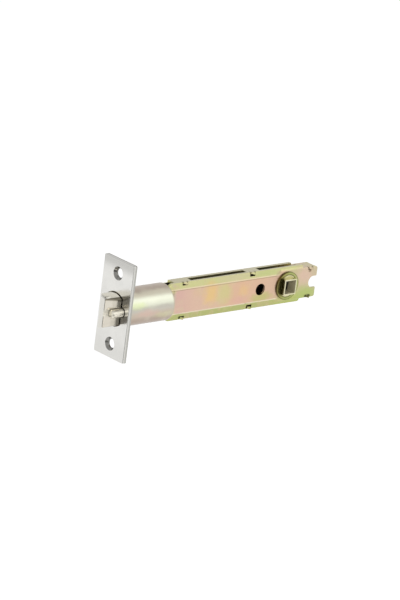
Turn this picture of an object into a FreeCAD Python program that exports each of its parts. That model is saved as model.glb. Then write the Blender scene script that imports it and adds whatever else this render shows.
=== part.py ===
"""Tubular dead latch with a long backset, as a parametric assembly in millimetres.

Frame: the origin is the centre of the faceplate's front face. +X runs rearwards along the latch, +Z runs up
the faceplate, and -Y is the near side, where the bolt is flat and carries the guard plunger.
"""
import FreeCAD, Part
import math
import os

import Sketcher

# Driving sizes: alias, millimetres, what it measures
SIZES = [
    ("plate_height", 57.15, "faceplate height"),
    ("plate_width", 25.4, "faceplate width"),
    ("scalp_thick", 1.4, "stainless faceplate thickness"),
    ("backing_thick", 1.0, "backing plate thickness"),
    ("plate_corner", 0.7, "corner radius of both plates"),
    ("scalp_edge", 0.3, "edge rounding on the faceplate's front"),
    ("screw_spacing", 41.3, "distance between the two screw holes"),
    ("screw_hole_dia", 5.4, "screw hole diameter"),
    ("screw_sink", 1.3, "depth of the 90 degree countersink"),
    ("opening_gap", 0.55, "gap between bolt and faceplate opening"),
    ("barrel_dia", 21.5, "barrel outer diameter"),
    ("barrel_wall", 1.0, "barrel wall"),
    ("barrel_end", 35.5, "rear end of the barrel from the faceplate front"),
    ("plug_thick", 2.0, "thickness of the disc in the barrel's rear end"),
    ("guide_gap", 0.3, "gap round the bars in the disc's window"),
    ("bolt_gap", 0.25, "radial gap between bolt and barrel"),
    ("flat_inside", 0.9, "distance of the bolt's near flat inside the plunger's axis"),
    ("flat_draft", 1.5, "lean of that flat towards the axis at the bolt's tip"),
    ("bolt_throw", 11.3, "how far the bolt stands out of the faceplate"),
    ("bolt_rear", 16.0, "rear face of the bolt from the faceplate front"),
    ("bolt_tip_land", 3.6, "width of the blunt tip beside the flat"),
    ("bolt_heel", 1.2, "part of the throw left straight on both sides"),
    ("bolt_round", 0.5, "edge rounding on the bolt's tip"),
    ("bolt_travel", 12.0, "travel of bolt and drawbar"),
    ("plunger_dia", 4.8, "guard plunger diameter"),
    ("plunger_wall_gap", 0.35, "gap between plunger and barrel"),
    ("plunger_throw", 8.0, "how far the plunger stands out of the faceplate"),
    ("plunger_rear", 14.0, "rear face of the plunger"),
    ("plunger_gap", 0.5, "radial gap round the plunger"),
    ("plunger_chamfer", 0.8, "chamfer on the plunger's nose"),
    ("plunger_travel", 7.8, "travel of the plunger"),
    ("tail_thick", 1.0, "plunger tail strip thickness"),
    ("tail_height", 2.6, "plunger tail strip height"),
    ("tail_front", 8.5, "front end of the tail, inside the plunger"),
    ("tail_depth", 2.0, "inner face of the tail in the plunger, inside the plunger's axis"),
    ("tail_lane", 1.1, "inner face of the tail between the case halves, from the axis"),
    ("tail_crank_front", 16.0, "start of the crank in the tail"),
    ("tail_crank_rear", 24.0, "end of the crank in the tail"),
    ("cam_lead", 2.0, "cam plate in front of the slot's front end"),
    ("cam_trail", 3.0, "cam plate behind the slot's rear end"),
    ("cam_over", 1.8, "cam plate above the slot's rear end"),
    ("cam_gap", 0.15, "gap round the stud in the cam slot"),
    ("tail_pin_dia", 1.6, "pin through plunger and tail"),
    ("tail_pin_x", 11.0, "place of that pin"),
    ("case_sheet", 1.2, "case sheet thickness"),
    ("case_height", 22.3, "height of the case"),
    ("case_thick", 8.6, "thickness of the case across its raised panels"),
    ("panel_height", 14.1, "height of the raised panel"),
    ("panel_step", 0.35, "step at the border of the raised panel"),
    ("step_run", 0.4, "height over which that step rises"),
    ("edge_fall", 0.6, "fall of the side band from the step to the case's edge"),
    ("panel_setback", 4.2, "flat strip between barrel and raised panel"),
    ("panel_ramp", 0.7, "length over which the panel's front rises"),
    ("hub_panel_lead", 9.0, "start of the panel's widening before the hub axis"),
    ("hub_panel_ramp", 3.4, "length of the panel's widening"),
    ("hub_panel_inset", 2.25, "widened panel's border inside the case's edge"),
    ("hub_foot_inset", 1.15, "foot of the widened panel's border inside the case's edge"),
    ("near_wide_end", 11.8, "near half: rear end of the full height, behind the hub axis"),
    ("far_wide_end", 7.7, "far half: rear end of the full height, behind the hub axis"),
    ("prong_behind_hub", 23.0, "rear end of the prongs, behind the hub axis"),
    ("prong_inset", 1.85, "prongs' outer edges inside the case's edges"),
    ("prong_round", 1.3, "rounding of the prongs' outer corners"),
    ("front_corner", 3.4, "rounding of the near half's front corners"),
    ("far_front_drop", 1.6, "drop of the far half's front corners below its edges"),
    ("far_front_round", 1.4, "rounding of the far half's front corners"),
    ("case_corner", 1.0, "rounding of the case's corners behind the hub"),
    ("lip_width", 2.0, "width of the lips folded in along the far half's edges"),
    ("backset", 127.0, "faceplate front to hub axis"),
    ("fix_spacing", 41.3, "distance between the two through bolts"),
    ("fix_hole_dia", 7.0, "through bolt hole and notch width"),
    ("joint_tab", 4.0, "height of the case tabs in the barrel's disc"),
    ("joint_tab_inset", 2.0, "lower edge of those tabs above the axis"),
    ("front_bridge_from", 40.9, "front bridge, front edge"),
    ("front_bridge_to", 53.5, "front bridge, rear edge"),
    ("front_tab_x", 48.2, "front bridge, middle of its tab"),
    ("mid_bridge_from", 95.7, "middle bridge, front edge"),
    ("mid_bridge_to", 105.7, "middle bridge, rear edge"),
    ("mid_tab_x", 99.6, "middle bridge, middle of its tab"),
    ("rear_bridge_lead", 11.4, "rear bridge, front edge before the prongs' ends"),
    ("rear_bridge_trail", 1.3, "rear bridge, rear edge before the prongs' ends"),
    ("rear_tab_inset", 5.4, "rear bridge, middle of its tab before the prongs' ends"),
    ("tab_width", 3.0, "width of a bridge tab"),
    ("tab_proud", 0.7, "how far a twisted tab head stands out"),
    ("tab_gap", 0.5, "gap beside a bridge tab in its notch"),
    ("notch_below", 0.75, "depth of a front notch beyond its tab"),
    ("mid_notch_more", 0.6, "extra depth of the middle notches"),
    ("rear_notch_below", 0.35, "depth of a rear notch beyond its tab"),
    ("hub_dia", 13.0, "hub journal diameter"),
    ("hub_gap", 0.05, "radial gap between journal and bush"),
    ("hub_neck", 9.4, "width across the flats of the hub's neck"),
    ("hub_face", 7.55, "distance of the hub's end faces from the latch axis"),
    ("spindle_square", 7.8, "square spindle hole"),
    ("bush_wall", 1.0, "wall of the hub bush in the case"),
    ("bush_flange_dia", 16.8, "diameter of the bush flange"),
    ("bush_flange", 0.8, "thickness of the bush flange"),
    ("thrust_dia", 13.9, "diameter of the hub's thrust flange"),
    ("thrust_thick", 0.7, "thickness of the thrust flange"),
    ("thrust_gap", 0.1, "gap between thrust flange and bush"),
    ("lug_rise", 6.9, "height of a lug's tip centre at rest"),
    ("lug_radius", 1.2, "radius of a lug's tip"),
    ("lug_inner", 0.5, "far face of the lugs beyond the axis plane"),
    ("lug_outer", 2.1, "near face of the lugs before the axis plane"),
    ("bar_thick", 1.4, "drawbar sheet thickness"),
    ("bar_lane", 0.7, "near face of the drawbar beyond the axis plane"),
    ("bar_height", 9.2, "height of the drawbar's shank"),
    ("bar_front", 8.5, "front end of the drawbar inside the bolt"),
    ("bar_fit", 0.05, "gap round the drawbar in the bolt's slot"),
    ("fork_web", 4.0, "drawbar's fork in front of its slot"),
    ("fork_height", 19.2, "height across the fork's arms"),
    ("fork_slot", 13.9, "height of the fork's open slot"),
    ("fork_clear", 0.35, "gap between fork slot and through bolt hole when drawn back"),
    ("ear_gap", 0.55, "play between hub lugs and drawbar ears"),
    ("ear_reach", 2.1, "near edge of the ears before the axis plane"),
    ("bar_pin_dia", 2.4, "cross pins in bolt and drawbar"),
    ("bar_pin_x", 12.0, "place of the cross pins"),
    ("bar_pin_rise", 3.1, "height of the cross pins from the axis"),
    ("bar_pin_near", 3.6, "near end of the cross pins"),
    ("bar_pin_inset", 1.9, "far end of the cross pins inside the bolt's round"),
    ("spring_length", 30.2, "length of the bolt spring at rest"),
    ("stop_before_fork", 5.3, "rear end of the bolt spring in front of the fork"),
    ("spring_dia", 3.8, "bolt spring outer diameter"),
    ("spring_wire", 0.6, "bolt spring wire"),
    ("spring_lane", 1.05, "bolt spring axis beyond the axis plane"),
    ("spring_turns", 13.0, "turns of the bolt spring"),
    ("window_gap", 0.2, "gap round the bolt spring in the drawbar's window"),
    ("stop_height", 3.6, "height of the spring stop tab"),
    ("stop_reach", 0.8, "near edge of the stop tab before the axis plane"),
    ("stop_slack", 0.15, "slack between stop tab and window at rest"),
    ("plunger_spring_dia", 3.0, "plunger spring outer diameter"),
    ("plunger_spring_wire", 0.45, "plunger spring wire"),
    ("plunger_spring_gap", 0.45, "gap between plunger spring and barrel"),
    ("plunger_spring_turns", 10.0, "turns of the plunger spring"),
    ("tooth_x", 46.3, "front face of the drawbar's locking tooth"),
    ("tooth_low", 2.6, "lower edge of the tooth"),
    ("tooth_reach", 0.8, "near edge of the tooth before the axis plane"),
    ("pawl_thick", 1.4, "pawl thickness"),
    ("pawl_lane", 0.5, "far face of the pawl beyond the axis plane"),
    ("pawl_arm", 22.0, "pawl nose front to pawl pivot"),
    ("pawl_z", 6.8, "pawl pivot height"),
    ("pawl_gap", 0.3, "gap between tooth and pawl nose"),
    ("pawl_nose", 3.5, "length of the pawl's nose"),
    ("pawl_nose_low", 4.9, "lower edge of the nose at rest"),
    ("pawl_low", 6.0, "lower edge of the pawl's arm"),
    ("pawl_top", 8.4, "upper edge of the pawl's arm"),
    ("pawl_boss_dia", 4.6, "boss of the pawl round its pivot"),
    ("pivot_dia", 2.5, "pawl pivot diameter"),
    ("pivot_gap", 0.05, "radial gap round the pivot"),
    ("stud_dia", 1.6, "pawl stud diameter"),
    ("stud_arm", 14.0, "pawl stud in front of the pawl pivot"),
    ("stud_z", 7.2, "pawl stud height"),
    ("stud_drop", 1.4, "drop of the stud when the plunger is held in"),
    ("lance_length", 4.0, "opening left by the lanced stop tab"),
]

doc = FreeCAD.newDocument("TubularLatch")
sheet = doc.addObject("Spreadsheet::Sheet", "Dims")
for row, (alias, millimetres, meaning) in enumerate(SIZES, start=1):
    sheet.set(f"A{row}", meaning)
    sheet.set(f"B{row}", str(millimetres))
    sheet.setAlias(f"B{row}", alias)
doc.recompute()


class Size:
    """A length that holds its number and the sheet expression it is worked out from."""

    def __init__(self, number, text):
        self.number = float(number)
        self.text = text

    @staticmethod
    def of(thing):
        return thing if isinstance(thing, Size) else Size(thing, repr(float(thing)))

    def __add__(self, other):
        other = Size.of(other)
        return Size(self.number + other.number, f"({self.text} + {other.text})")

    def __sub__(self, other):
        other = Size.of(other)
        return Size(self.number - other.number, f"({self.text} - {other.text})")

    def __mul__(self, other):
        other = Size.of(other)
        return Size(self.number * other.number, f"({self.text} * {other.text})")

    def __truediv__(self, other):
        other = Size.of(other)
        return Size(self.number / other.number, f"({self.text} / {other.text})")

    def __neg__(self):
        return Size(-self.number, f"(0 - {self.text})")

    def root(self):
        return Size(math.sqrt(self.number), f"sqrt({self.text})")

    __radd__ = __add__
    __rmul__ = __mul__


class Dims:
    """The sheet's cells, each as a Size."""


for alias, millimetres, meaning in SIZES:
    setattr(Dims, alias, Size(sheet.get(alias), f"Dims.{alias}"))
d = Dims

ALONG_X = FreeCAD.Rotation(FreeCAD.Vector(0, 1, 0), 90)
ALONG_Y = FreeCAD.Rotation(FreeCAD.Vector(1, 0, 0), -90)
OVER = Size(1.0, "1.0")
ZERO = Size(0.0, "0.0")
TAB_TWIST = 20.0


def tie(thing, name, size):
    """Bind one property of an object to the sheet."""
    thing.setExpression(name, Size.of(size).text)


def place(thing, x, y, z):
    """Bind an object's place to the sheet."""
    tie(thing, "Placement.Base.x", x)
    tie(thing, "Placement.Base.y", y)
    tie(thing, "Placement.Base.z", z)


def block(name, x, y, z):
    """Box between the two limits given for each axis."""
    box = doc.addObject("Part::Box", name)
    for side, (low, high) in zip(("Length", "Width", "Height"), (x, y, z)):
        tie(box, side, Size.of(high) - low)
    place(box, x[0], y[0], z[0])
    return box


def rod_x(name, radius, x, y=ZERO, z=ZERO):
    """Cylinder along the latch between two stations."""
    rod = doc.addObject("Part::Cylinder", name)
    rod.Placement = FreeCAD.Placement(FreeCAD.Vector(), ALONG_X)
    tie(rod, "Radius", radius)
    tie(rod, "Height", Size.of(x[1]) - x[0])
    place(rod, x[0], y, z)
    return rod


def rod_y(name, radius, x, y, z=ZERO):
    """Cylinder across the latch between two stations."""
    rod = doc.addObject("Part::Cylinder", name)
    rod.Placement = FreeCAD.Placement(FreeCAD.Vector(), ALONG_Y)
    tie(rod, "Radius", radius)
    tie(rod, "Height", Size.of(y[1]) - y[0])
    place(rod, x, y[0], z)
    return rod


def cone_x(name, front_radius, rear_radius, x, y=ZERO, z=ZERO):
    """Cone along the latch between two stations."""
    cone = doc.addObject("Part::Cone", name)
    cone.Placement = FreeCAD.Placement(FreeCAD.Vector(), ALONG_X)
    tie(cone, "Radius1", front_radius)
    tie(cone, "Radius2", rear_radius)
    tie(cone, "Height", Size.of(x[1]) - x[0])
    place(cone, x[0], y, z)
    return cone


def fuse(name, *pieces):
    """Union of several objects."""
    union = doc.addObject("Part::MultiFuse", name)
    union.Shapes = list(pieces)
    union.Refine = True
    return union


def cut(name, base, *tools):
    """Base less its tools."""
    result = doc.addObject("Part::Cut", name)
    result.Base = base
    result.Tool = tools[0] if len(tools) == 1 else fuse(name + "Tools", *tools)
    result.Refine = True
    return result


def common(name, first, second):
    """What two objects share."""
    result = doc.addObject("Part::Common", name)
    result.Base = first
    result.Tool = second
    return result


def sketch_on(body, name, role, offset=ZERO):
    """New sketch on one of a body's own origin planes, moved along the plane's normal."""
    sketch = body.newObject("Sketcher::SketchObject", name)
    plane = next(f for f in body.Origin.OriginFeatures if f.Role == role)
    sketch.AttachmentSupport = [(plane, "")]
    sketch.MapMode = "FlatFace"
    tie(sketch, "AttachmentOffset.Base.z", offset)
    return sketch


def draw_outline(sketch, corners):
    """Closed outline of straight runs, each corner bound to the sheet."""
    first = sketch.GeometryCount
    points = [FreeCAD.Vector(x.number, y.number, 0) for x, y in corners]
    for start, end in zip(points, points[1:] + points[:1]):
        sketch.addGeometry(Part.LineSegment(start, end), False)
    for step in range(len(corners)):
        following = first + (step + 1) % len(corners)
        sketch.addConstraint(Sketcher.Constraint("Coincident", first + step, 2, following, 1))
    for step, (x, y) in enumerate(corners):
        for kind, size in (("DistanceX", x), ("DistanceY", y)):
            index = sketch.addConstraint(Sketcher.Constraint(kind, -1, 1, first + step, 1, size.number))
            tie(sketch, f"Constraints[{index}]", size)


def draw_circle(sketch, x, y, radius):
    """Circle bound to the sheet."""
    centre = FreeCAD.Vector(x.number, y.number, 0)
    circle = sketch.addGeometry(Part.Circle(centre, FreeCAD.Vector(0, 0, 1), radius.number), False)
    for kind, size in (("DistanceX", x), ("DistanceY", y)):
        index = sketch.addConstraint(Sketcher.Constraint(kind, -1, 1, circle, 3, size.number))
        tie(sketch, f"Constraints[{index}]", size)
    index = sketch.addConstraint(Sketcher.Constraint("Radius", circle, radius.number))
    tie(sketch, f"Constraints[{index}]", radius)


def rectangle(x, y):
    """Corners of an upright rectangle between two limits on each axis."""
    low_x, high_x = (Size.of(size) for size in x)
    low_y, high_y = (Size.of(size) for size in y)
    return [(low_x, low_y), (high_x, low_y), (high_x, high_y), (low_x, high_y)]


def pad(body, sketch, length):
    """Pad a sketch along its plane's normal."""
    feature = body.newObject("PartDesign::Pad", sketch.Name + "Pad")
    feature.Profile = sketch
    tie(feature, "Length", length)
    sketch.Visibility = False
    return feature


def pocket_through(body, sketch):
    """Cut a sketch through the whole body both ways."""
    feature = body.newObject("PartDesign::Pocket", sketch.Name + "Pocket")
    feature.Profile = sketch
    feature.Type = "ThroughAll"
    feature.Midplane = True
    return feature


def straight_edges(shape, axis, spots):
    """Names of the edges along one axis that pass through the given spots on the other two."""
    others = [other for other in range(3) if other != axis]
    found = []
    for number, edge in enumerate(shape.Edges, start=1):
        if len(edge.Vertexes) != 2:
            continue
        ends = [tuple(vertex.Point) for vertex in edge.Vertexes]
        flat = [abs(ends[0][other] - ends[1][other]) < 1e-6 for other in others]
        if not all(flat):
            continue
        for spot in spots:
            if all(abs(ends[0][other] - value) < 1e-4 for other, value in zip(others, spot)):
                found.append(f"Edge{number}")
    return found


def round_edges(body, base, axis, spots, radius):
    """Fillet a body's straight edges at the given spots."""
    doc.recompute()
    names = straight_edges(base.Shape, axis, spots)
    if len(names) != len(spots):
        raise RuntimeError(f"{base.Label}: {len(names)} edges found for {len(spots)} roundings")
    feature = body.newObject("PartDesign::Fillet", base.Name + "Round")
    feature.Base = (base, names)
    tie(feature, "Radius", radius)
    return feature


def coil(label, turns, outer, wire, x, y):
    """Compression spring along the latch, its wire swept along a helix."""
    span = x[1].number - x[0].number - wire.number
    radius = (outer.number - wire.number) / 2
    helix = Part.makeHelix(span / turns.number, span, radius)
    section = Part.makeCircle(wire.number / 2, FreeCAD.Vector(radius, 0, 0), FreeCAD.Vector(0, 1, 0))
    solid = Part.Wire(helix.Edges).makePipeShell([Part.Wire(section)], True, True)
    spring = doc.addObject("Part::Feature", label)
    spring.Shape = solid
    start = FreeCAD.Vector(x[0].number + wire.number / 2, y.number, 0)
    spring.Placement = FreeCAD.Placement(start, ALONG_X)
    return spring


# Sizes shared by several pieces
PLATE_BACK = d.scalp_thick + d.backing_thick
BORE = d.barrel_dia / 2 - d.barrel_wall
BOLT_RADIUS = BORE - d.bolt_gap
PLUNGER_OFFSET = BORE - d.plunger_dia / 2 - d.plunger_wall_gap
PLUNGER_SPRING_OFFSET = BORE - d.plunger_spring_dia / 2 - d.plunger_spring_gap
BOLT_FLAT = PLUNGER_OFFSET - d.flat_inside
TAIL_SEAT = PLUNGER_OFFSET - d.tail_depth
BAR_PIN_FAR = BOLT_RADIUS - d.bar_pin_inset
PLUG_FRONT = d.barrel_end - d.plug_thick
PANEL = d.case_thick / 2
PANEL_IN = PANEL - d.case_sheet
HALF_PANEL = d.panel_height / 2
STEP_FOOT = HALF_PANEL + d.step_run
HALF_CASE = d.case_height / 2
HALF_PRONG = HALF_CASE - d.prong_inset
BAND = PANEL - d.panel_step
EDGE = BAND - d.edge_fall
BAND_SLOPE = d.edge_fall / (HALF_CASE - STEP_FOOT)
HUB_PANEL = HALF_CASE - d.hub_panel_inset
HUB_FOOT = HALF_CASE - d.hub_foot_inset
HUB_BAND = EDGE + BAND_SLOPE * d.hub_foot_inset
PRONG_EDGE = PANEL - (PANEL - HUB_BAND) / (HUB_FOOT - HUB_PANEL) * (HALF_PRONG - HUB_PANEL)
NEAR_WIDE_END = d.backset + d.near_wide_end
FAR_WIDE_END = d.backset + d.far_wide_end
CASE_END = d.backset + d.prong_behind_hub
PAWL_FRONT = d.tooth_x + d.bar_thick + d.pawl_gap
PAWL_X = PAWL_FRONT + d.pawl_arm
STUD_X = PAWL_X - d.stud_arm
CAM_FRONT = STUD_X - d.plunger_travel - d.cam_lead
CAM_REAR = STUD_X + d.cam_trail
CAM_TOP = d.stud_z + d.cam_over
FIX_FRONT = d.backset - d.fix_spacing / 2
FIX_REAR = d.backset + d.fix_spacing / 2
BAR_FAR = d.bar_lane + d.bar_thick
BUSH_RADIUS = d.hub_dia / 2 + d.hub_gap
BUSH_OUTER = BUSH_RADIUS + d.bush_wall
TAB_DEPTH = d.case_sheet + d.notch_below
PLUNGER_CLEAR = d.plunger_dia / 2 + d.plunger_gap
FORK_SLOT_FROM = FIX_FRONT - d.fix_hole_dia / 2 - d.bolt_travel - d.fork_clear
FORK_FROM = FORK_SLOT_FROM - d.fork_web
SPRING_TO = FORK_FROM - d.stop_before_fork
SPRING_FROM = SPRING_TO - d.spring_length
STOP_REAR = SPRING_TO + d.case_sheet
TAIL_SLOT = d.tail_height / 2 + d.guide_gap
LUG_LEAN = d.bolt_travel / 2
LUG_REACH = (LUG_LEAN * LUG_LEAN + d.lug_rise * d.lug_rise).root()
EAR_FRONT = d.backset - LUG_LEAN + d.lug_radius + d.ear_gap
FORK_END = EAR_FRONT + d.bar_thick
BRIDGES = [
    ("Front", d.front_bridge_from, d.front_bridge_to, d.front_tab_x, HALF_CASE, EDGE, TAB_DEPTH),
    ("Mid", d.mid_bridge_from, d.mid_bridge_to, d.mid_tab_x, HALF_CASE, EDGE, TAB_DEPTH + d.mid_notch_more),
    ("Rear", CASE_END - d.rear_bridge_lead, CASE_END - d.rear_bridge_trail, CASE_END - d.rear_tab_inset,
     HALF_PRONG, PRONG_EDGE, d.case_sheet + d.rear_notch_below),
]


def rounded_plate(name, front, thickness):
    """Faceplate blank with rounded corners, and the feature that rounds them."""
    body = doc.addObject("PartDesign::Body", name)
    half_y = d.plate_width / 2
    half_z = d.plate_height / 2
    sketch = sketch_on(body, name + "Outline", "YZ_Plane", front)
    draw_outline(sketch, rectangle((-half_y, half_y), (-half_z, half_z)))
    blank = pad(body, sketch, thickness)
    corners = [(y, z) for y in (-half_y.number, half_y.number) for z in (-half_z.number, half_z.number)]
    return body, round_edges(body, blank, 0, corners, d.plate_corner)


def screw_holes(name, x):
    """Two screw holes, one above the other."""
    rise = d.screw_spacing / 2
    radius = d.screw_hole_dia / 2
    return [rod_x(f"{name}{side}", radius, x, z=z) for side, z in (("High", rise), ("Low", -rise))]


def make_faceplate():
    """Stainless plate with countersunk holes and the bolt's opening."""
    through = (-OVER, d.scalp_thick + OVER)
    opening = BOLT_RADIUS + d.opening_gap
    round_hole = rod_x("OpeningRound", opening, through)
    flat_side = block("OpeningFlat", through, (-(BOLT_FLAT + d.opening_gap), opening), (-opening, opening))
    bump = rod_x("OpeningBump", PLUNGER_CLEAR, through, y=-PLUNGER_OFFSET)
    sinks = []
    for side, z in (("High", d.screw_spacing / 2), ("Low", -d.screw_spacing / 2)):
        hole = d.screw_hole_dia / 2
        sinks.append(cone_x(f"Sink{side}", hole + d.screw_sink, hole, (ZERO, d.screw_sink), z=z))
    tools = [common("Opening", round_hole, flat_side), bump, *screw_holes("ScalpHole", through), *sinks]
    blank, rounded = rounded_plate("ScalpBlank", ZERO, d.scalp_thick)
    doc.recompute()
    front = [f"Edge{number}" for number, edge in enumerate(rounded.Shape.Edges, start=1)
             if all(abs(vertex.X) < 1e-6 for vertex in edge.Vertexes)]
    eased = blank.newObject("PartDesign::Fillet", "ScalpEased")
    eased.Base = (rounded, front)
    tie(eased, "Radius", d.scalp_edge)
    return cut("faceplate", blank, *tools)


def make_backing_plate():
    """Plate behind the faceplate, bored for the barrel."""
    through = (ZERO, PLATE_BACK + OVER)
    seat = rod_x("BarrelSeat", d.barrel_dia / 2, through)
    blank, rounded = rounded_plate("BackingBlank", d.scalp_thick, d.backing_thick)
    return cut("backing_plate", blank, seat, *screw_holes("BackingHole", through))


def make_barrel():
    """Round tube, set into the backing plate."""
    outside = rod_x("BarrelOutside", d.barrel_dia / 2, (d.scalp_thick, d.barrel_end))
    return cut("barrel", outside, rod_x("BarrelBore", BORE, (ZERO, d.barrel_end + OVER)))


def joint_tabs(name, side):
    """Two tabs of a case half where they pass through the barrel's disc; side is -1 for the near half."""
    y = (BAND - d.case_sheet, BAND) if side > 0 else (-BAND, d.case_sheet - BAND)
    low, high = d.joint_tab_inset, d.joint_tab_inset + d.joint_tab
    span = (PLUG_FRONT, d.barrel_end)
    return [block(name + "High", span, y, (low, high)), block(name + "Low", span, y, (-high, -low))]


def make_barrel_plug():
    """Disc in the barrel's rear end, slotted for the bars and the case tabs."""
    disc = rod_x("PlugDisc", BORE, (PLUG_FRONT, d.barrel_end))
    far = BAR_FAR + d.guide_gap
    near = d.tail_lane + d.tail_thick + d.guide_gap
    half = d.bar_height / 2 + d.guide_gap
    window = block("PlugWindow", (ZERO, d.barrel_end + OVER), (-near, far), (-half, half))
    return cut("barrel_plug", disc, window, *joint_tabs("PlugSlotNear", -1), *joint_tabs("PlugSlotFar", 1))


def case_section(side, panel, border, band, foot):
    """Outline of a case half across the latch.

    side is -1 for the near half and 1 for the far one; panel and border are the reach and half height of the
    raised panel, band and foot those of the step's outer side.
    """
    upper = [(panel, border), (band, foot), (EDGE, HALF_CASE)]
    outer = [(reach, -z) for reach, z in reversed(upper)] + upper
    inner = [(reach - d.case_sheet, z) for reach, z in reversed(outer)]
    return [(reach * side, z) for reach, z in outer + inner]


def case_stations(side):
    """Places along the latch where the case's section changes, each with its outline."""
    flat = case_section(side, BAND, HALF_PANEL, BAND, STEP_FOOT)
    raised = case_section(side, PANEL, HALF_PANEL, BAND, STEP_FOOT)
    wide = case_section(side, PANEL, HUB_PANEL, HUB_BAND, HUB_FOOT)
    rise = d.barrel_end + d.panel_setback
    widen = d.backset - d.hub_panel_lead
    return [(d.barrel_end, flat), (rise, flat), (rise + d.panel_ramp, raised), (widen, raised),
            (widen + d.hub_panel_ramp, wide), (CASE_END, wide)]


def make_case_blank(name, side, wide_end, notched):
    """Pressed case half: section along the latch, then its outline, holes and fork."""
    body = doc.addObject("PartDesign::Body", name)
    sections = []
    for number, (station, outline) in enumerate(case_stations(side)):
        sections.append(sketch_on(body, f"{name}Section{number}", "YZ_Plane", station))
        draw_outline(sections[-1], outline)
    doc.recompute()
    sheet_metal = body.newObject("PartDesign::AdditiveLoft", name + "Loft")
    sheet_metal.Profile = sections[0]
    sheet_metal.Sections = sections[1:]
    sheet_metal.Ruled = True
    doc.recompute()
    holes = sketch_on(body, name + "Holes", "XZ_Plane")
    draw_circle(holes, d.backset, ZERO, BUSH_OUTER)
    draw_circle(holes, FIX_FRONT, ZERO, d.fix_hole_dia / 2)
    draw_circle(holes, FIX_REAR, ZERO, d.fix_hole_dia / 2)
    pocket_through(body, holes)
    trims = sketch_on(body, name + "Trims", "XZ_Plane")
    for low, high in ((-HALF_CASE - OVER, -HALF_PRONG), (HALF_PRONG, HALF_CASE + OVER)):
        draw_outline(trims, rectangle((wide_end, CASE_END + OVER), (low, high)))
    front, front_round = HALF_CASE, d.front_corner
    if not notched:
        front, front_round = HALF_CASE - d.far_front_drop, d.far_front_round
        for low, high in ((-HALF_CASE - OVER, -front), (front, HALF_CASE + OVER)):
            draw_outline(trims, rectangle((d.barrel_end - OVER, d.front_bridge_from), (low, high)))
    half_notch = d.fix_hole_dia / 2
    pocket_through(body, trims)
    mouth = sketch_on(body, name + "Mouth", "XZ_Plane")
    draw_outline(mouth, rectangle((FIX_REAR, CASE_END + OVER), (-half_notch, half_notch)))
    last = pocket_through(body, mouth)
    if notched:
        notches = sketch_on(body, name + "Notches", "XZ_Plane")
        half = d.tab_width / 2 + d.tab_gap
        for bridge, start, end, tab, height, edge, depth in BRIDGES:
            draw_outline(notches, rectangle((tab - half, tab + half), (height - depth, height + OVER)))
            draw_outline(notches, rectangle((tab - half, tab + half), (-height - OVER, -height + depth)))
        last = pocket_through(body, notches)
    high, prong = HALF_CASE.number, HALF_PRONG.number
    corner = front.number
    last = round_edges(body, last, 1, [(d.barrel_end.number, z) for z in (-corner, corner)], front_round)
    last = round_edges(body, last, 1, [(wide_end.number, z) for z in (-high, high)], d.case_corner)
    round_edges(body, last, 1, [(CASE_END.number, z) for z in (-prong, prong)], d.prong_round)
    return body


def tab_head(name, x, edge, z):
    """Twisted end of a bridge tab, outside the near half."""
    head = doc.addObject("Part::Box", name)
    head.Placement = FreeCAD.Placement(FreeCAD.Vector(), FreeCAD.Rotation(FreeCAD.Vector(0, 1, 0), TAB_TWIST))
    tie(head, "Length", d.tab_width)
    tie(head, "Width", d.tab_proud)
    tie(head, "Height", d.case_sheet)
    turn = math.radians(TAB_TWIST)
    reach_x = d.tab_width * (math.cos(turn) / 2) + d.case_sheet * (math.sin(turn) / 2)
    reach_z = d.case_sheet * (math.cos(turn) / 2) - d.tab_width * (math.sin(turn) / 2)
    place(head, x - reach_x, -edge - d.tab_proud, z - reach_z)
    return head


def make_near_case_half():
    """Near side plate, notched along its edges for the far half's tabs."""
    blank = make_case_blank("NearBlank", -1, NEAR_WIDE_END, True)
    return fuse("near_case_half", blank, *joint_tabs("NearTab", -1))


def make_far_case_half():
    """Far side plate with its folded lips, the bridges and their tabs, and the lanced spring stop."""
    blank = make_case_blank("FarBlank", 1, FAR_WIDE_END, False)
    extras = joint_tabs("FarTab", 1)
    lip = (d.front_bridge_from, FAR_WIDE_END - d.case_corner)
    for name, low in (("Top", HALF_CASE - d.case_sheet), ("Low", -HALF_CASE)):
        extras.append(block(f"Lip{name}", lip, (EDGE - d.lip_width, EDGE), (low, low + d.case_sheet)))
    for bridge, start, end, tab, height, edge, depth in BRIDGES:
        inside = edge - d.case_sheet
        for name, low in (("Top", height - d.case_sheet), ("Low", -height)):
            high = low + d.case_sheet
            extras.append(block(f"{bridge}Bridge{name}", (start, end), (-inside, edge), (low, high)))
            sides = (tab - d.tab_width / 2, tab + d.tab_width / 2)
            extras.append(block(f"{bridge}Tongue{name}", sides, (-edge, ZERO), (low, high)))
            extras.append(tab_head(f"{bridge}Head{name}", tab, edge, (low + high) / 2))
    stop = (-d.stop_height / 2, d.stop_height / 2)
    extras.append(block("SpringStop", (SPRING_TO, STOP_REAR), (-d.stop_reach, PANEL), stop))
    lance = block("Lance", (STOP_REAR, STOP_REAR + d.lance_length), (ZERO, PANEL + OVER), stop)
    rivet = rod_y("RivetHole", d.pivot_dia / 2, PAWL_X, (ZERO, PANEL + OVER), d.pawl_z)
    return cut("far_case_half", fuse("FarJoined", blank, *extras), lance, rivet)


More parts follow.
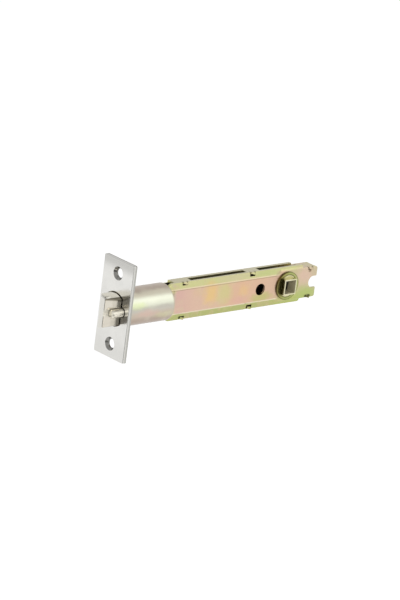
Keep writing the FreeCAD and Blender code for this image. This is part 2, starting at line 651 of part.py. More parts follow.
def make_latch_bolt():
    """D section bolt: near flat with the plunger's groove, far bevel, slots for the two bars behind."""
    span = (-d.bolt_throw, d.bolt_rear)
    body = doc.addObject("PartDesign::Body", "BoltBlank")
    side = sketch_on(body, "BoltSide", "XY_Plane", -BOLT_RADIUS)
    tip_flat = -(BOLT_FLAT - d.flat_draft)
    land = tip_flat + d.bolt_tip_land
    draw_outline(side, [(-d.bolt_throw, tip_flat), (-d.bolt_heel, -BOLT_FLAT), (d.bolt_rear, -BOLT_FLAT),
                        (d.bolt_rear, BOLT_RADIUS), (-d.bolt_heel, BOLT_RADIUS), (-d.bolt_throw, land)])
    blank = pad(body, side, BOLT_RADIUS * 2)
    tip_edges = [(-d.bolt_throw.number, y) for y in (tip_flat.number, land.number)]
    round_edges(body, blank, 2, tip_edges, d.bolt_round)
    eased = cone_x("BoltTip", BOLT_RADIUS - d.bolt_round, BOLT_RADIUS, (span[0], span[0] + d.bolt_round))
    stock = fuse("BoltStock", eased, rod_x("BoltRound", BOLT_RADIUS, (span[0] + d.bolt_round, span[1])))
    shaped = common("BoltShaped", body, stock)
    groove = rod_x("BoltGroove", PLUNGER_CLEAR, (span[0] - OVER, span[1] + OVER), y=-PLUNGER_OFFSET)
    half_bar = d.bar_height / 2 + d.bar_fit
    bar_slot = block("BoltBarSlot", (d.bar_front, d.bolt_rear + OVER),
                     (d.bar_lane - d.bar_fit, BAR_FAR + d.bar_fit), (-half_bar, half_bar))
    tail_front = d.tail_crank_front - d.bolt_travel - d.guide_gap
    tail_slot = block("BoltTailSlot", (tail_front, d.bolt_rear + OVER),
                      (-BOLT_RADIUS, -(d.tail_lane - d.guide_gap)), (-TAIL_SLOT, TAIL_SLOT))
    pin_holes = cross_pins("BoltPinHole", BAR_PIN_FAR + OVER * 3)
    return cut("latch_bolt", shaped, groove, bar_slot, tail_slot, *pin_holes)


def cross_pins(name, far):
    """The two cross pins through bolt and drawbar."""
    reach = (-d.bar_pin_near, far)
    return [rod_y(f"{name}{side}", d.bar_pin_dia / 2, d.bar_pin_x, reach, z)
            for side, z in (("High", d.bar_pin_rise), ("Low", -d.bar_pin_rise))]


def make_drawbar_pins():
    """The pins themselves, as one group."""
    return fuse("drawbar_pins", *cross_pins("BarPin", BAR_PIN_FAR))


def make_drawbar():
    """Flat bar from bolt to hub: shank with the spring's window, fork round the hub, two ears, a tooth."""
    body = doc.addObject("PartDesign::Body", "BarBlank")
    outline = sketch_on(body, "BarOutline", "XZ_Plane", -BAR_FAR)
    half, arm, slot = d.bar_height / 2, d.fork_height / 2, d.fork_slot / 2
    upper = [(FORK_SLOT_FROM, slot), (FORK_END, slot), (FORK_END, arm), (FORK_FROM, arm),
             (FORK_FROM, half), (d.bar_front, half)]
    lower = [(x, -z) for x, z in reversed(upper)]
    draw_outline(outline, upper + lower)
    pad(body, outline, d.bar_thick)
    window = sketch_on(body, "BarWindow", "XZ_Plane")
    half_window = d.spring_dia / 2 + d.window_gap
    draw_outline(window, rectangle((SPRING_FROM, STOP_REAR + d.stop_slack), (-half_window, half_window)))
    for z in (d.bar_pin_rise, -d.bar_pin_rise):
        draw_circle(window, d.bar_pin_x, z, d.bar_pin_dia / 2)
    pocket_through(body, window)
    ears = [block(f"Ear{name}", (EAR_FRONT, FORK_END), (-d.ear_reach, BAR_FAR), z)
            for name, z in (("Top", (slot, arm)), ("Low", (-arm, -slot)))]
    tooth_span = (d.tooth_x, d.tooth_x + d.bar_thick)
    tooth = block("Tooth", tooth_span, (-d.tooth_reach, BAR_FAR), (d.tooth_low, half))
    return fuse("drawbar", body, tooth, *ears)


def make_deadlatch_plunger():
    """Round guard pin with a chamfered nose, slotted behind for its tail."""
    chamfer = d.plunger_chamfer
    radius = d.plunger_dia / 2
    nose = cone_x("PlungerNose", radius - chamfer, radius,
                  (-d.plunger_throw, -d.plunger_throw + chamfer), y=-PLUNGER_OFFSET)
    shank = rod_x("PlungerShank", radius, (-d.plunger_throw + chamfer, d.plunger_rear), y=-PLUNGER_OFFSET)
    slot = block("PlungerSlot", (d.tail_front, d.plunger_rear + OVER),
                 (-(TAIL_SEAT + d.tail_thick), -(PLUNGER_OFFSET - radius - OVER)), (-radius, radius))
    return cut("deadlatch_plunger", fuse("PlungerBody", nose, shank), slot, tail_pin("PlungerPinHole"))


def tail_pin(label):
    """Pin through plunger and tail."""
    reach = PLUNGER_OFFSET + d.plunger_dia / 2 - d.tail_pin_dia / 4
    return rod_y(label, d.tail_pin_dia / 2, d.tail_pin_x, (-reach, -TAIL_SEAT))


def make_plunger_tail():
    """Cranked strip behind the plunger, widened into a plate with a sloping cam slot."""
    lane, seat = -d.tail_lane, -TAIL_SEAT
    body = doc.addObject("PartDesign::Body", "TailBlank")
    strip = sketch_on(body, "TailStrip", "XY_Plane", -d.tail_height / 2)
    inner = [(d.tail_front, seat), (d.tail_crank_front, seat), (d.tail_crank_rear, lane), (CAM_REAR, lane)]
    outer = [(x, y - d.tail_thick) for x, y in reversed(inner)]
    draw_outline(strip, inner + outer)
    pad(body, strip, d.tail_height)
    rise = (-d.tail_height / 2, CAM_TOP)
    plate = block("CamPlate", (CAM_FRONT, CAM_REAR), (lane - d.tail_thick, lane), rise)
    end_x = STUD_X - d.plunger_travel
    end_z = d.stud_z - d.stud_drop
    half = d.stud_dia / 2 + d.cam_gap
    length = (d.plunger_travel * d.plunger_travel + d.stud_drop * d.stud_drop).root()
    over_x = d.stud_drop / length * half
    over_z = d.plunger_travel / length * half
    across = (lane - d.tail_thick - OVER, lane + OVER)
    slot_body = doc.addObject("PartDesign::Body", "CamSlot")
    slot = sketch_on(slot_body, "CamSlotOutline", "XZ_Plane", d.tail_lane - OVER)
    draw_outline(slot, [(end_x - over_x, end_z + over_z), (end_x + over_x, end_z - over_z),
                        (STUD_X + over_x, d.stud_z - over_z), (STUD_X - over_x, d.stud_z + over_z)])
    pad(slot_body, slot, d.tail_thick + OVER * 2)
    ends = [rod_y(f"CamSlot{name}", half, x, across, z)
            for name, x, z in (("Front", end_x, end_z), ("Rear", STUD_X, d.stud_z))]
    return cut("plunger_tail", fuse("TailJoined", body, plate), slot_body, *ends, tail_pin("TailPinHole"))


def make_locking_pawl():
    """Flat lever: nose in front, boss round its pivot behind."""
    body = doc.addObject("PartDesign::Body", "PawlBlank")
    outline = sketch_on(body, "PawlOutline", "XZ_Plane", -d.pawl_lane)
    front = PAWL_FRONT
    heel = front + d.pawl_nose
    root = PAWL_X - d.pivot_dia / 2 - d.pivot_gap * 3
    draw_outline(outline, [(front, d.pawl_nose_low), (heel, d.pawl_nose_low), (heel, d.pawl_low),
                           (root, d.pawl_low), (root, d.pawl_top), (front, d.pawl_top)])
    pad(body, outline, d.pawl_thick)
    faces = (d.pawl_lane - d.pawl_thick, d.pawl_lane)
    boss = rod_y("PawlBoss", d.pawl_boss_dia / 2, PAWL_X, faces, d.pawl_z)
    through = (faces[0] - OVER, faces[1] + OVER)
    hole = rod_y("PawlHole", d.pivot_dia / 2 + d.pivot_gap, PAWL_X, through, d.pawl_z)
    stud_hole = rod_y("PawlStudHole", d.stud_dia / 2, STUD_X, through, d.stud_z)
    return cut("locking_pawl", fuse("PawlJoined", body, boss), hole, stud_hole)


def make_pawl_stud():
    """Stud of the pawl that stands in the cam slot."""
    reach = (-(d.tail_lane + d.tail_thick), d.pawl_lane)
    return rod_y("pawl_stud", d.stud_dia / 2, STUD_X, reach, d.stud_z)


def make_pawl_pivot():
    """Rivet in the far case half that the pawl turns on."""
    return rod_y("pawl_pivot", d.pivot_dia / 2, PAWL_X, (d.pawl_lane - d.pawl_thick, PANEL), d.pawl_z)


def make_hub():
    """Follower: round journals, squared necks, two lugs leaning forwards, a square hole right through."""
    radius = d.hub_dia / 2
    half_neck = d.hub_neck / 2
    journal = PANEL + d.bush_flange
    faces = (-d.hub_face, d.hub_face)
    core = rod_y("HubCore", radius, d.backset, (-journal, journal))
    neck_span = (d.backset - half_neck, d.backset + half_neck)
    square = block("HubNeckSquare", neck_span, faces, (-half_neck, half_neck))
    neck = common("HubNeck", square, rod_y("HubNeckRound", radius, d.backset, faces))
    thrust_far = PANEL_IN - d.thrust_gap
    thrust = rod_y("HubThrust", d.thrust_dia / 2, d.backset, (thrust_far - d.thrust_thick, thrust_far))
    lug_body = doc.addObject("PartDesign::Body", "HubLugs")
    lug_faces = (-d.lug_outer, d.lug_inner)
    tips = []
    side_x = d.lug_rise / LUG_REACH * d.lug_radius
    side_z = LUG_LEAN / LUG_REACH * d.lug_radius
    tip_x = d.backset - LUG_LEAN
    lugs = sketch_on(lug_body, "HubLugOutline", "XZ_Plane", -d.lug_inner)
    waist = LUG_REACH / d.lug_rise * d.lug_radius
    front = (tip_x - side_x, d.lug_rise - side_z)
    rear = (tip_x + side_x, d.lug_rise + side_z)
    draw_outline(lugs, [front, (d.backset - waist, ZERO), (front[0], -front[1]),
                        (rear[0], -rear[1]), (d.backset + waist, ZERO), rear])
    pad(lug_body, lugs, d.lug_inner + d.lug_outer)
    for name, z in (("Top", d.lug_rise), ("Low", -d.lug_rise)):
        tips.append(rod_y(f"HubTip{name}", d.lug_radius, tip_x, lug_faces, z))
    half = d.spindle_square / 2
    through = (faces[0] - OVER, faces[1] + OVER)
    hole = block("SpindleHole", (d.backset - half, d.backset + half), through, (-half, half))
    return cut("hub", fuse("HubJoined", core, neck, thrust, lug_body, *tips), hole)


def make_hub_bush(label, side):
    """Flanged ring round the hub in one case half; side is -1 for the near one."""
    wall = (PANEL_IN, PANEL + d.bush_flange)
    flange = (PANEL, PANEL + d.bush_flange)
    if side < 0:
        wall = (-wall[1], -wall[0])
        flange = (-flange[1], -flange[0])
    solid = fuse(label + "Solid", rod_y(label + "Wall", BUSH_OUTER, d.backset, wall),
                 rod_y(label + "Flange", d.bush_flange_dia / 2, d.backset, flange))
    bore = rod_y(label + "Bore", BUSH_RADIUS, d.backset, (wall[0] - OVER, wall[1] + OVER))
    return cut(label, solid, bore)


pieces = [
    make_faceplate(),
    make_backing_plate(),
    make_barrel(),
    make_barrel_plug(),
    make_near_case_half(),
    make_far_case_half(),
    make_latch_bolt(),
    make_drawbar(),
    make_drawbar_pins(),
    coil("bolt_spring", d.spring_turns, d.spring_dia, d.spring_wire, (SPRING_FROM, SPRING_TO), d.spring_lane),
    make_deadlatch_plunger(),
    make_plunger_tail(),
    tail_pin("plunger_tail_pin"),
    coil("plunger_spring", d.plunger_spring_turns, d.plunger_spring_dia, d.plunger_spring_wire,
         (d.plunger_rear, PLUG_FRONT), -PLUNGER_SPRING_OFFSET),
    make_locking_pawl(),
    make_pawl_stud(),
    make_pawl_pivot(),
    make_hub(),
    make_hub_bush("hub_bush_near", -1),
    make_hub_bush("hub_bush_far", 1),
]
doc.recompute()

SOLIDS = {"drawbar_pins": 2}
for thing in doc.Objects:
    if "Invalid" in thing.State or "Error" in thing.State:
        raise RuntimeError(f"{thing.Label} failed to build: {thing.State}")
for piece in pieces:
    shape = piece.Shape
    wanted = SOLIDS.get(piece.Label, 1)
    if shape.isNull() or not shape.isValid() or len(shape.Solids) != wanted:
        raise RuntimeError(f"{piece.Label} is not {wanted} valid solid(s)")

os.makedirs("parts", exist_ok=True)
for piece in pieces:
    piece.Shape.exportStep(os.path.join("parts", piece.Label + ".step"))
    print(f"{piece.Label}: {piece.Shape.Volume:.1f} mm3")
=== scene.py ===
"""Dressed model of a tubular dead latch with a long backset: finishes, springs, studio and camera.

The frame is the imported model's own, in metres: the origin is the centre of the faceplate's front, +X runs
rearwards along the latch, +Z up the faceplate, and -Y is the near side with the bolt's flat.
"""
from __future__ import annotations

import logging
import math
from dataclasses import dataclass
from enum import Enum

import bpy
from mathutils import Matrix, Vector


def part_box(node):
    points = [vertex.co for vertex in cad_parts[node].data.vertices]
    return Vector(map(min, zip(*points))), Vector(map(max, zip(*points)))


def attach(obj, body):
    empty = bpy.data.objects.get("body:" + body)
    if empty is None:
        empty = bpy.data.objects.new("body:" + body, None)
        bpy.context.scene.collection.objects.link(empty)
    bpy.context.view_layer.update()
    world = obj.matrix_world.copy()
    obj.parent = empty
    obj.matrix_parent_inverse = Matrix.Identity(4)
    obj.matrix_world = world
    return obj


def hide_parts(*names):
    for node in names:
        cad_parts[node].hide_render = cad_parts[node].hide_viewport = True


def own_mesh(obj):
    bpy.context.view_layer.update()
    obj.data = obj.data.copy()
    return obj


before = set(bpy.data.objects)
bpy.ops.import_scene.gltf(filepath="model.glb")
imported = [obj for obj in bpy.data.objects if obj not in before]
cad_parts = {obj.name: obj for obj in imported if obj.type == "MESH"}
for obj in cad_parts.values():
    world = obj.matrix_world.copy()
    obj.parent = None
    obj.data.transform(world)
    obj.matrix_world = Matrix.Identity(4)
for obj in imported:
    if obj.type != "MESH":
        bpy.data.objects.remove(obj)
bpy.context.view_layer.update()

LOG = logging.getLogger("latch")
MM = 0.001

Colour = tuple[float, float, float, float]
Point = tuple[float, float, float]
Span = tuple[float, float]
Socket = bpy.types.NodeSocket


def tone(red: int, green: int, blue: int) -> Colour:
    """Linear colour of a display colour.

    Args:
        red: Red from 0 to 255.
        green: Green from 0 to 255.
        blue: Blue from 0 to 255.

    Returns:
        The colour as the shaders take it, with full alpha.
    """
    parts = []
    for value in (red, green, blue):
        share = value / 255.0
        parts.append(share / 12.92 if share <= 0.04045 else ((share + 0.055) / 1.055) ** 2.4)
    return (parts[0], parts[1], parts[2], 1.0)


class Grain(Enum):
    """Which way a satin finish was rubbed, as the stretch of its pattern along X, Y and Z."""

    UPRIGHT = (1.0, 1.0, 0.03)
    LENGTHWISE = (0.03, 1.0, 1.0)
    TUMBLED = (1.0, 1.0, 1.0)


@dataclass(frozen=True)
class Noise:
    """A noise pattern: its fineness per metre, its finer layers, their weight and its distortion."""

    scale: float
    detail: float
    roughness: float = 0.5
    distortion: float = 0.0


class Graph:
    """The nodes of one tree, with short ways to add and join them."""

    def __init__(self, tree: bpy.types.NodeTree) -> None:
        """Hold a tree.

        Args:
            tree: The tree to work on.
        """
        self.tree = tree

    def add(self, kind: str, values: dict[str | int, object] | None = None,
            **settings: object) -> bpy.types.Node:
        """Add a node.

        Args:
            kind: Blender's name of the node type.
            values: Values for its inputs, by socket name or number; a socket is joined instead.
            settings: Properties of the node itself.

        Returns:
            The new node.
        """
        node = self.tree.nodes.new(kind)
        for name, value in settings.items():
            setattr(node, name, value)
        for key, value in (values or {}).items():
            self.feed(node.inputs[key], value)
        return node

    def feed(self, socket: Socket, value: object) -> None:
        """Join a socket to an input, or set the input's own value.

        Args:
            socket: The input.
            value: A socket, or a value for it.
        """
        if isinstance(value, bpy.types.NodeSocket):
            self.tree.links.new(value, socket)
        else:
            socket.default_value = value

    def group(self, tree: bpy.types.NodeTree, place: Socket,
              values: dict[str, object] | None = None) -> bpy.types.Node:
        """Add a shared group that reads a place.

        Args:
            tree: The group.
            place: The coordinates that it reads.
            values: Values for its other inputs.

        Returns:
            The group's node.
        """
        return self.add("ShaderNodeGroup", {"Vector": place, **(values or {})}, node_tree=tree)

    def math(self, operation: str, first: object, second: object = 0.0, clamp: bool = False) -> Socket:
        """Add a Math node.

        Args:
            operation: Blender's name of the operation.
            first: First value or socket.
            second: Second value or socket.
            clamp: Whether the result is kept from 0 to 1.

        Returns:
            The result's socket.
        """
        node = self.add("ShaderNodeMath", {0: first, 1: second}, operation=operation, use_clamp=clamp)
        return node.outputs[0]

    def times(self, *values: object) -> Socket:
        """Multiply values.

        Args:
            values: Two or more values or sockets.

        Returns:
            The product's socket.
        """
        product = values[0]
        for value in values[1:]:
            product = self.math("MULTIPLY", product, value)
        return product

    def rest(self, share: Socket) -> Socket:
        """What a share leaves of one.

        Args:
            share: The share.

        Returns:
            The socket of what is left.
        """
        return self.math("SUBTRACT", 1.0, share)

    def off(self, value: Socket, middle: float) -> Socket:
        """How far a value lies from a middle, either way.

        Args:
            value: The socket to read.
            middle: The middle.

        Returns:
            The distance's socket.
        """
        return self.math("ABSOLUTE", self.math("SUBTRACT", value, middle))

    def reach(self, first: Socket, second: Socket) -> Socket:
        """Length of a line with two known sides.

        Args:
            first: First side.
            second: Second side, square to it.

        Returns:
            The length's socket.
        """
        return self.math("SQRT", self.math("ADD", self.times(first, first), self.times(second, second)))

    def vector(self, operation: str, first: Socket, second: object = (0.0, 0.0, 0.0)) -> bpy.types.Node:
        """Add a Vector Math node.

        Args:
            operation: Blender's name of the operation.
            first: First vector.
            second: Second vector or socket.

        Returns:
            The node.
        """
        return self.add("ShaderNodeVectorMath", {0: first, 1: second}, operation=operation)

    def axes(self, place: Socket) -> tuple[Socket, Socket, Socket]:
        """Split a place.

        Args:
            place: The coordinates.

        Returns:
            The sockets of its X, Y and Z.
        """
        parts = self.add("ShaderNodeSeparateXYZ", {0: place})
        return parts.outputs["X"], parts.outputs["Y"], parts.outputs["Z"]

    def noise(self, place: Socket, plan: Noise, scale: Socket | None = None) -> Socket:
        """Add a noise texture.

        Args:
            place: Where the pattern is read.
            plan: The pattern.
            scale: A socket that gives the fineness instead, if any.

        Returns:
            The pattern's socket.
        """
        node = self.add("ShaderNodeTexNoise", {
            "Vector": place, "Scale": plan.scale if scale is None else scale, "Detail": plan.detail,
            "Roughness": plan.roughness, "Distortion": plan.distortion})
        return node.outputs["Fac"]

    def span(self, value: Socket, limits: Span) -> Socket:
        """Smooth step of a value from 0 at one limit to 1 at the other.

        Args:
            value: The socket to read.
            limits: Where the result is 0 and where it is 1.

        Returns:
            The result's socket.
        """
        node = self.add("ShaderNodeMapRange", {"Value": value, "From Min": limits[0], "From Max": limits[1]},
                        interpolation_type="SMOOTHSTEP")
        return node.outputs["Result"]

    def blend(self, share: object, first: object, second: object) -> Socket:
        """Mix two colours.

        Args:
            share: How much of the second colour.
            first: First colour or socket.
            second: Second colour or socket.

        Returns:
            The mixed colour's socket.
        """
        node = self.add("ShaderNodeMix", data_type="RGBA")
        for place, value in ((0, share), (6, first), (7, second)):
            self.feed(node.inputs[place], value)
        return node.outputs[2]

    def ramp(self, value: Socket, stops: tuple[tuple[float, Colour], ...]) -> Socket:
        """Colour along a ramp.

        Args:
            value: The socket that says where on the ramp.
            stops: Places and colours, in order.

        Returns:
            The colour's socket.
        """
        node = self.add("ShaderNodeValToRGB", {"Fac": value})
        row = node.color_ramp
        row.interpolation = "EASE"
        while len(row.elements) < len(stops):
            row.elements.new(0.5)
        for element, (place, colour) in zip(row.elements, stops):
            element.position = place
            element.color = colour
        return node.outputs["Color"]


class Effects:
    """Shader node groups that several finishes share."""

    LINES = Noise(4000.0, 4.0, 0.6)
    SLOW = Noise(120.0, 3.0)
    WANDER = Noise(60.0, 2.0)
    CLOUDS = Noise(140.0, 3.0, 0.55, 0.6)
    SPECKLE = Noise(1800.0, 2.0)
    SCUFFED = Noise(90.0, 2.0)
    SMUDGED = Noise(45.0, 4.0)
    RAGGED = Noise(260.0, 3.0)
    SCUFF_CELLS = 330.0
    SCUFF_WIDTH = (0.03, 0.0)
    SCUFF_PLACES = (0.52, 0.66)
    SMUDGE_PLACES = (0.42, 0.7)
    PATCH_WOBBLE = 1.1
    PATCH_EDGE = (1.35, 0.25)

    def __init__(self) -> None:
        """Build each group once."""
        self.satin = self._satin_grain()
        self.drift = self._plating_drift()
        self.marks = self._handling_marks()
        self.blot = self._tint_patch()

    @staticmethod
    def _open(name: str, inputs: dict[str, float | Point],
              outputs: tuple[str, ...]) -> tuple[Graph, bpy.types.Node, bpy.types.Node]:
        """Start a group that reads a place.

        Args:
            name: The group's name.
            inputs: Default of each other input.
            outputs: Names of the value outputs.

        Returns:
            Its graph, its input node and its output node.
        """
        tree = bpy.data.node_groups.new(name, "ShaderNodeTree")
        tree.interface.new_socket("Vector", in_out="INPUT", socket_type="NodeSocketVector")
        for label, default in inputs.items():
            kind = "NodeSocketVector" if isinstance(default, tuple) else "NodeSocketFloat"
            tree.interface.new_socket(label, in_out="INPUT", socket_type=kind).default_value = default
        for label in outputs:
            tree.interface.new_socket(label, in_out="OUTPUT", socket_type="NodeSocketFloat")
        graph = Graph(tree)
        return graph, graph.add("NodeGroupInput"), graph.add("NodeGroupOutput")

    def _satin_grain(self) -> bpy.types.NodeTree:
        """Fine rubbed grain: a height and a slow change of polish.

        Returns:
            The group.
        """
        graph, given, result = self._open(
            "SatinGrain", {"Stretch": (1.0, 1.0, 1.0), "Fineness": self.LINES.scale}, ("Height", "Polish"))
        place = given.outputs["Vector"]
        stretched = graph.vector("MULTIPLY", place, given.outputs["Stretch"]).outputs["Vector"]
        lines = graph.noise(stretched, self.LINES, given.outputs["Fineness"])
        slow = graph.noise(place, self.SLOW)
        graph.feed(result.inputs["Height"], lines)
        graph.feed(result.inputs["Polish"],
                   graph.math("ADD", graph.times(lines, 0.5), graph.times(slow, 0.5)))
        return graph.tree

    def _plating_drift(self) -> bpy.types.NodeTree:
        """Slow wander of a plating's tint along one direction, and its cloudy patches.

        Returns:
            The group.
        """
        graph, given, result = self._open(
            "PlatingDrift",
            {"Direction": (1.0, 0.0, 0.0), "Start": 0.0, "Length": 0.1, "Wander": 0.1,
             "Patch": self.WANDER.scale},
            ("Along", "Cloud", "Speckle"))
        place = given.outputs["Vector"]
        run = graph.vector("DOT_PRODUCT", place, given.outputs["Direction"]).outputs["Value"]
        along = graph.math("DIVIDE", graph.math("SUBTRACT", run, given.outputs["Start"]),
                           given.outputs["Length"])
        wander = graph.noise(place, self.WANDER, given.outputs["Patch"])
        swing = graph.times(graph.math("SUBTRACT", wander, 0.5), given.outputs["Wander"])
        graph.feed(result.inputs["Along"], graph.math("ADD", along, swing))
        graph.feed(result.inputs["Cloud"], graph.noise(place, self.CLOUDS))
        graph.feed(result.inputs["Speckle"], graph.noise(place, self.SPECKLE))
        return graph.tree

    def _handling_marks(self) -> bpy.types.NodeTree:
        """Faint scuffs and smudges left by handling.

        Returns:
            The group.
        """
        graph, given, result = self._open("HandlingMarks", {"Density": 0.5}, ("Scuff", "Smudge"))
        place, density = given.outputs["Vector"], given.outputs["Density"]
        cells = graph.add("ShaderNodeTexVoronoi", {"Vector": place, "Scale": self.SCUFF_CELLS},
                          feature="DISTANCE_TO_EDGE").outputs["Distance"]
        thin = graph.span(cells, self.SCUFF_WIDTH)
        rare = graph.span(graph.noise(place, self.SCUFFED), self.SCUFF_PLACES)
        smudge = graph.span(graph.noise(place, self.SMUDGED), self.SMUDGE_PLACES)
        graph.feed(result.inputs["Scuff"], graph.times(thin, rare, density))
        graph.feed(result.inputs["Smudge"], graph.times(smudge, density))
        return graph.tree

    def _tint_patch(self) -> bpy.types.NodeTree:
        """Soft-edged cloud of another tint or of painted shade on the latch's side, with a wandering
        outline.

        Returns:
            The group.
        """
        graph, given, result = self._open(
            "TintPatch",
            {"Centre": (0.0, 0.0, 0.0), "Spread": (100.0, 0.0, 100.0), "Strength": 0.8},
            ("Share",))
        place = given.outputs["Vector"]
        offset = graph.vector("SUBTRACT", place, given.outputs["Centre"]).outputs["Vector"]
        scaled = graph.vector("MULTIPLY", offset, given.outputs["Spread"]).outputs["Vector"]
        reach = graph.vector("LENGTH", scaled).outputs["Value"]
        wobble = graph.times(graph.math("SUBTRACT", graph.noise(place, self.RAGGED), 0.5), self.PATCH_WOBBLE)
        inside = graph.span(graph.math("ADD", reach, wobble), self.PATCH_EDGE)
        graph.feed(result.inputs["Share"], graph.times(inside, given.outputs["Strength"]))
        return graph.tree


@dataclass(frozen=True)
class Surface:
    """A material under way: its graph, shader, coordinates and how much painted corner shade each point
    takes.
    """

    material: bpy.types.Material
    graph: Graph
    shader: bpy.types.Node
    place: Socket
    corner: Socket


@dataclass(frozen=True)
class MetalFinish:
    """What every metal finish here has, and how its material starts and ends."""

    name: str
    roughness: float
    grain: Grain = Grain.TUMBLED
    fineness: float = 3500.0
    depth: float = 0.00001
    easing: float = 0.00018
    # Painted shade: ambient occlusion darkens corners and crevices towards this colour, standing for soiling
    # and for the shade that falls there.
    corner_shade_and_grime: Colour = (0.030, 0.026, 0.014, 1.0)
    corner_shade_and_grime_share: float = 0.55
    relief: float = 0.35
    polish_swing: float = 0.16
    smudged: float = 0.08
    scuffed: float = 0.05
    corner_reach: float = 0.0016
    corner_sky: Span = (0.62, 0.12)

    def start(self, effects: Effects) -> Surface:
        """Start the material with its shader, grain, eased edges and painted shade with soiling in its
        corners.

        Args:
            effects: The shared groups.

        Returns:
            The material under way.
        """
        material = bpy.data.materials.new(self.name)
        material.use_nodes = True
        graph = Graph(material.node_tree)
        shader = graph.tree.nodes["Principled BSDF"]
        shader.inputs["Metallic"].default_value = 1.0
        place = graph.add("ShaderNodeTexCoord").outputs["Object"]
        satin = graph.group(effects.satin, place, {"Stretch": self.grain.value, "Fineness": self.fineness})
        eased = graph.add("ShaderNodeBevel", {"Radius": self.easing}, samples=6)
        bump = graph.add("ShaderNodeBump", {"Strength": self.relief, "Distance": self.depth,
                                            "Height": satin.outputs["Height"], "Normal": eased.outputs[0]})
        graph.feed(shader.inputs["Normal"], bump.outputs[0])
        marks = graph.group(effects.marks, place)
        spread = graph.times(graph.math("SUBTRACT", satin.outputs["Polish"], 0.5), self.polish_swing)
        worn = graph.math("ADD", graph.math("ADD", spread, self.roughness),
                          graph.times(marks.outputs["Smudge"], self.smudged))
        graph.feed(shader.inputs["Roughness"],
                   graph.math("ADD", worn, graph.times(marks.outputs["Scuff"], self.scuffed)))
        # Painted shade: ambient occlusion darkens the corners.
        sky = graph.add("ShaderNodeAmbientOcclusion", {"Distance": self.corner_reach}, samples=8)
        corner = graph.times(graph.span(sky.outputs["AO"], self.corner_sky), self.corner_shade_and_grime_share)
        return Surface(material, graph, shader, place, corner)

    def close(self, surface: Surface, colour: object, free_of_corner_shade: Socket | None = None) -> bpy.types.Material:
        """Lay the painted corner shade and soiling over the colour and join it to the shader.

        Args:
            surface: The material under way.
            colour: The colour before the corner shade is laid, or its socket.
            free_of_corner_shade: Where no painted corner shade or soiling lies, if anywhere.

        Returns:
            The finished material.
        """
        graph = surface.graph
        corner_shade_and_dirt = surface.corner
        if free_of_corner_shade is not None:
            corner_shade_and_dirt = graph.times(corner_shade_and_dirt, graph.rest(free_of_corner_shade))
        graph.feed(surface.shader.inputs["Base Color"], graph.blend(corner_shade_and_dirt, colour, self.corner_shade_and_grime))
        return surface.material


@dataclass(frozen=True)
class SatinFinish(MetalFinish):
    """Rubbed bare metal or nickel: one colour that clouds slowly towards another."""

    colour: Colour = (0.7, 0.7, 0.7, 1.0)
    clouded: Colour = (0.6, 0.6, 0.6, 1.0)
    cloud_at: Span = (0.35, 0.75)

    def tint(self, effects: Effects, surface: Surface) -> Socket:
        """Clouded colour.

        Args:
            effects: The shared groups.
            surface: The material under way.

        Returns:
            The colour's socket.
        """
        graph = surface.graph
        drift = graph.group(effects.drift, surface.place)
        return graph.blend(graph.span(drift.outputs["Cloud"], self.cloud_at), self.colour, self.clouded)

    def make(self, effects: Effects) -> bpy.types.Material:
        """Build the material.

        Args:
            effects: The shared groups.

        Returns:
            The material.
        """
        surface = self.start(effects)
        return self.close(surface, self.tint(effects, surface))


@dataclass(frozen=True)
class PlateFinish(SatinFinish):
    """Satin of the front plates, with painted shade at both ends, on the cut edges and in the countersinks.
    """

    # Painted shade: greyer at the top end and a little greyer at the bottom end.
    ends: Colour = tone(194, 193, 189)
    end_shade_at: Span = (0.0205, 0.0268)
    foot_shade: Colour = tone(214, 213, 209)
    foot_shade_at: Span = (-0.012, -0.024)
    # Painted shade: the cut edges are painted greyer than the face.
    edge: Colour = tone(200, 199, 194)
    edge_at: Span = (0.0125, 0.01262)
    # Painted shade: one side of each countersink is painted dark.
    countersink_shade: Colour = tone(122, 121, 117)
    countersink_shade_at: Span = (0.00399, 0.0038)
    countersink_shade_side: Span = (-0.0032, 0.0004)
    countersink_shade_share: float = 0.9
    screw_rise: float = 0.02065

    def tint(self, effects: Effects, surface: Surface) -> Socket:
        """Clouded colour with painted shade at its ends, on its cut edges and in its countersinks.

        Args:
            effects: The shared groups.
            surface: The material under way.

        Returns:
            The colour's socket.
        """
        graph = surface.graph
        colour = super().tint(effects, surface)
        side, height = graph.axes(surface.place)[1:]
        # Painted shade towards the top and bottom ends.
        colour = graph.blend(graph.span(height, self.end_shade_at), colour, self.ends)
        colour = graph.blend(graph.span(height, self.foot_shade_at), colour, self.foot_shade)
        across = graph.math("ABSOLUTE", side)
        rise = graph.math("SUBTRACT", graph.math("ABSOLUTE", height), self.screw_rise)
        # Painted shade in the countersinks.
        countersink_shaded = graph.times(graph.span(graph.reach(across, rise), self.countersink_shade_at),
                           graph.span(side, self.countersink_shade_side), self.countersink_shade_share)
        colour = graph.blend(countersink_shaded, colour, self.countersink_shade)
        # Painted shade on the cut edges.
        return graph.blend(graph.span(across, self.edge_at), colour, self.edge)


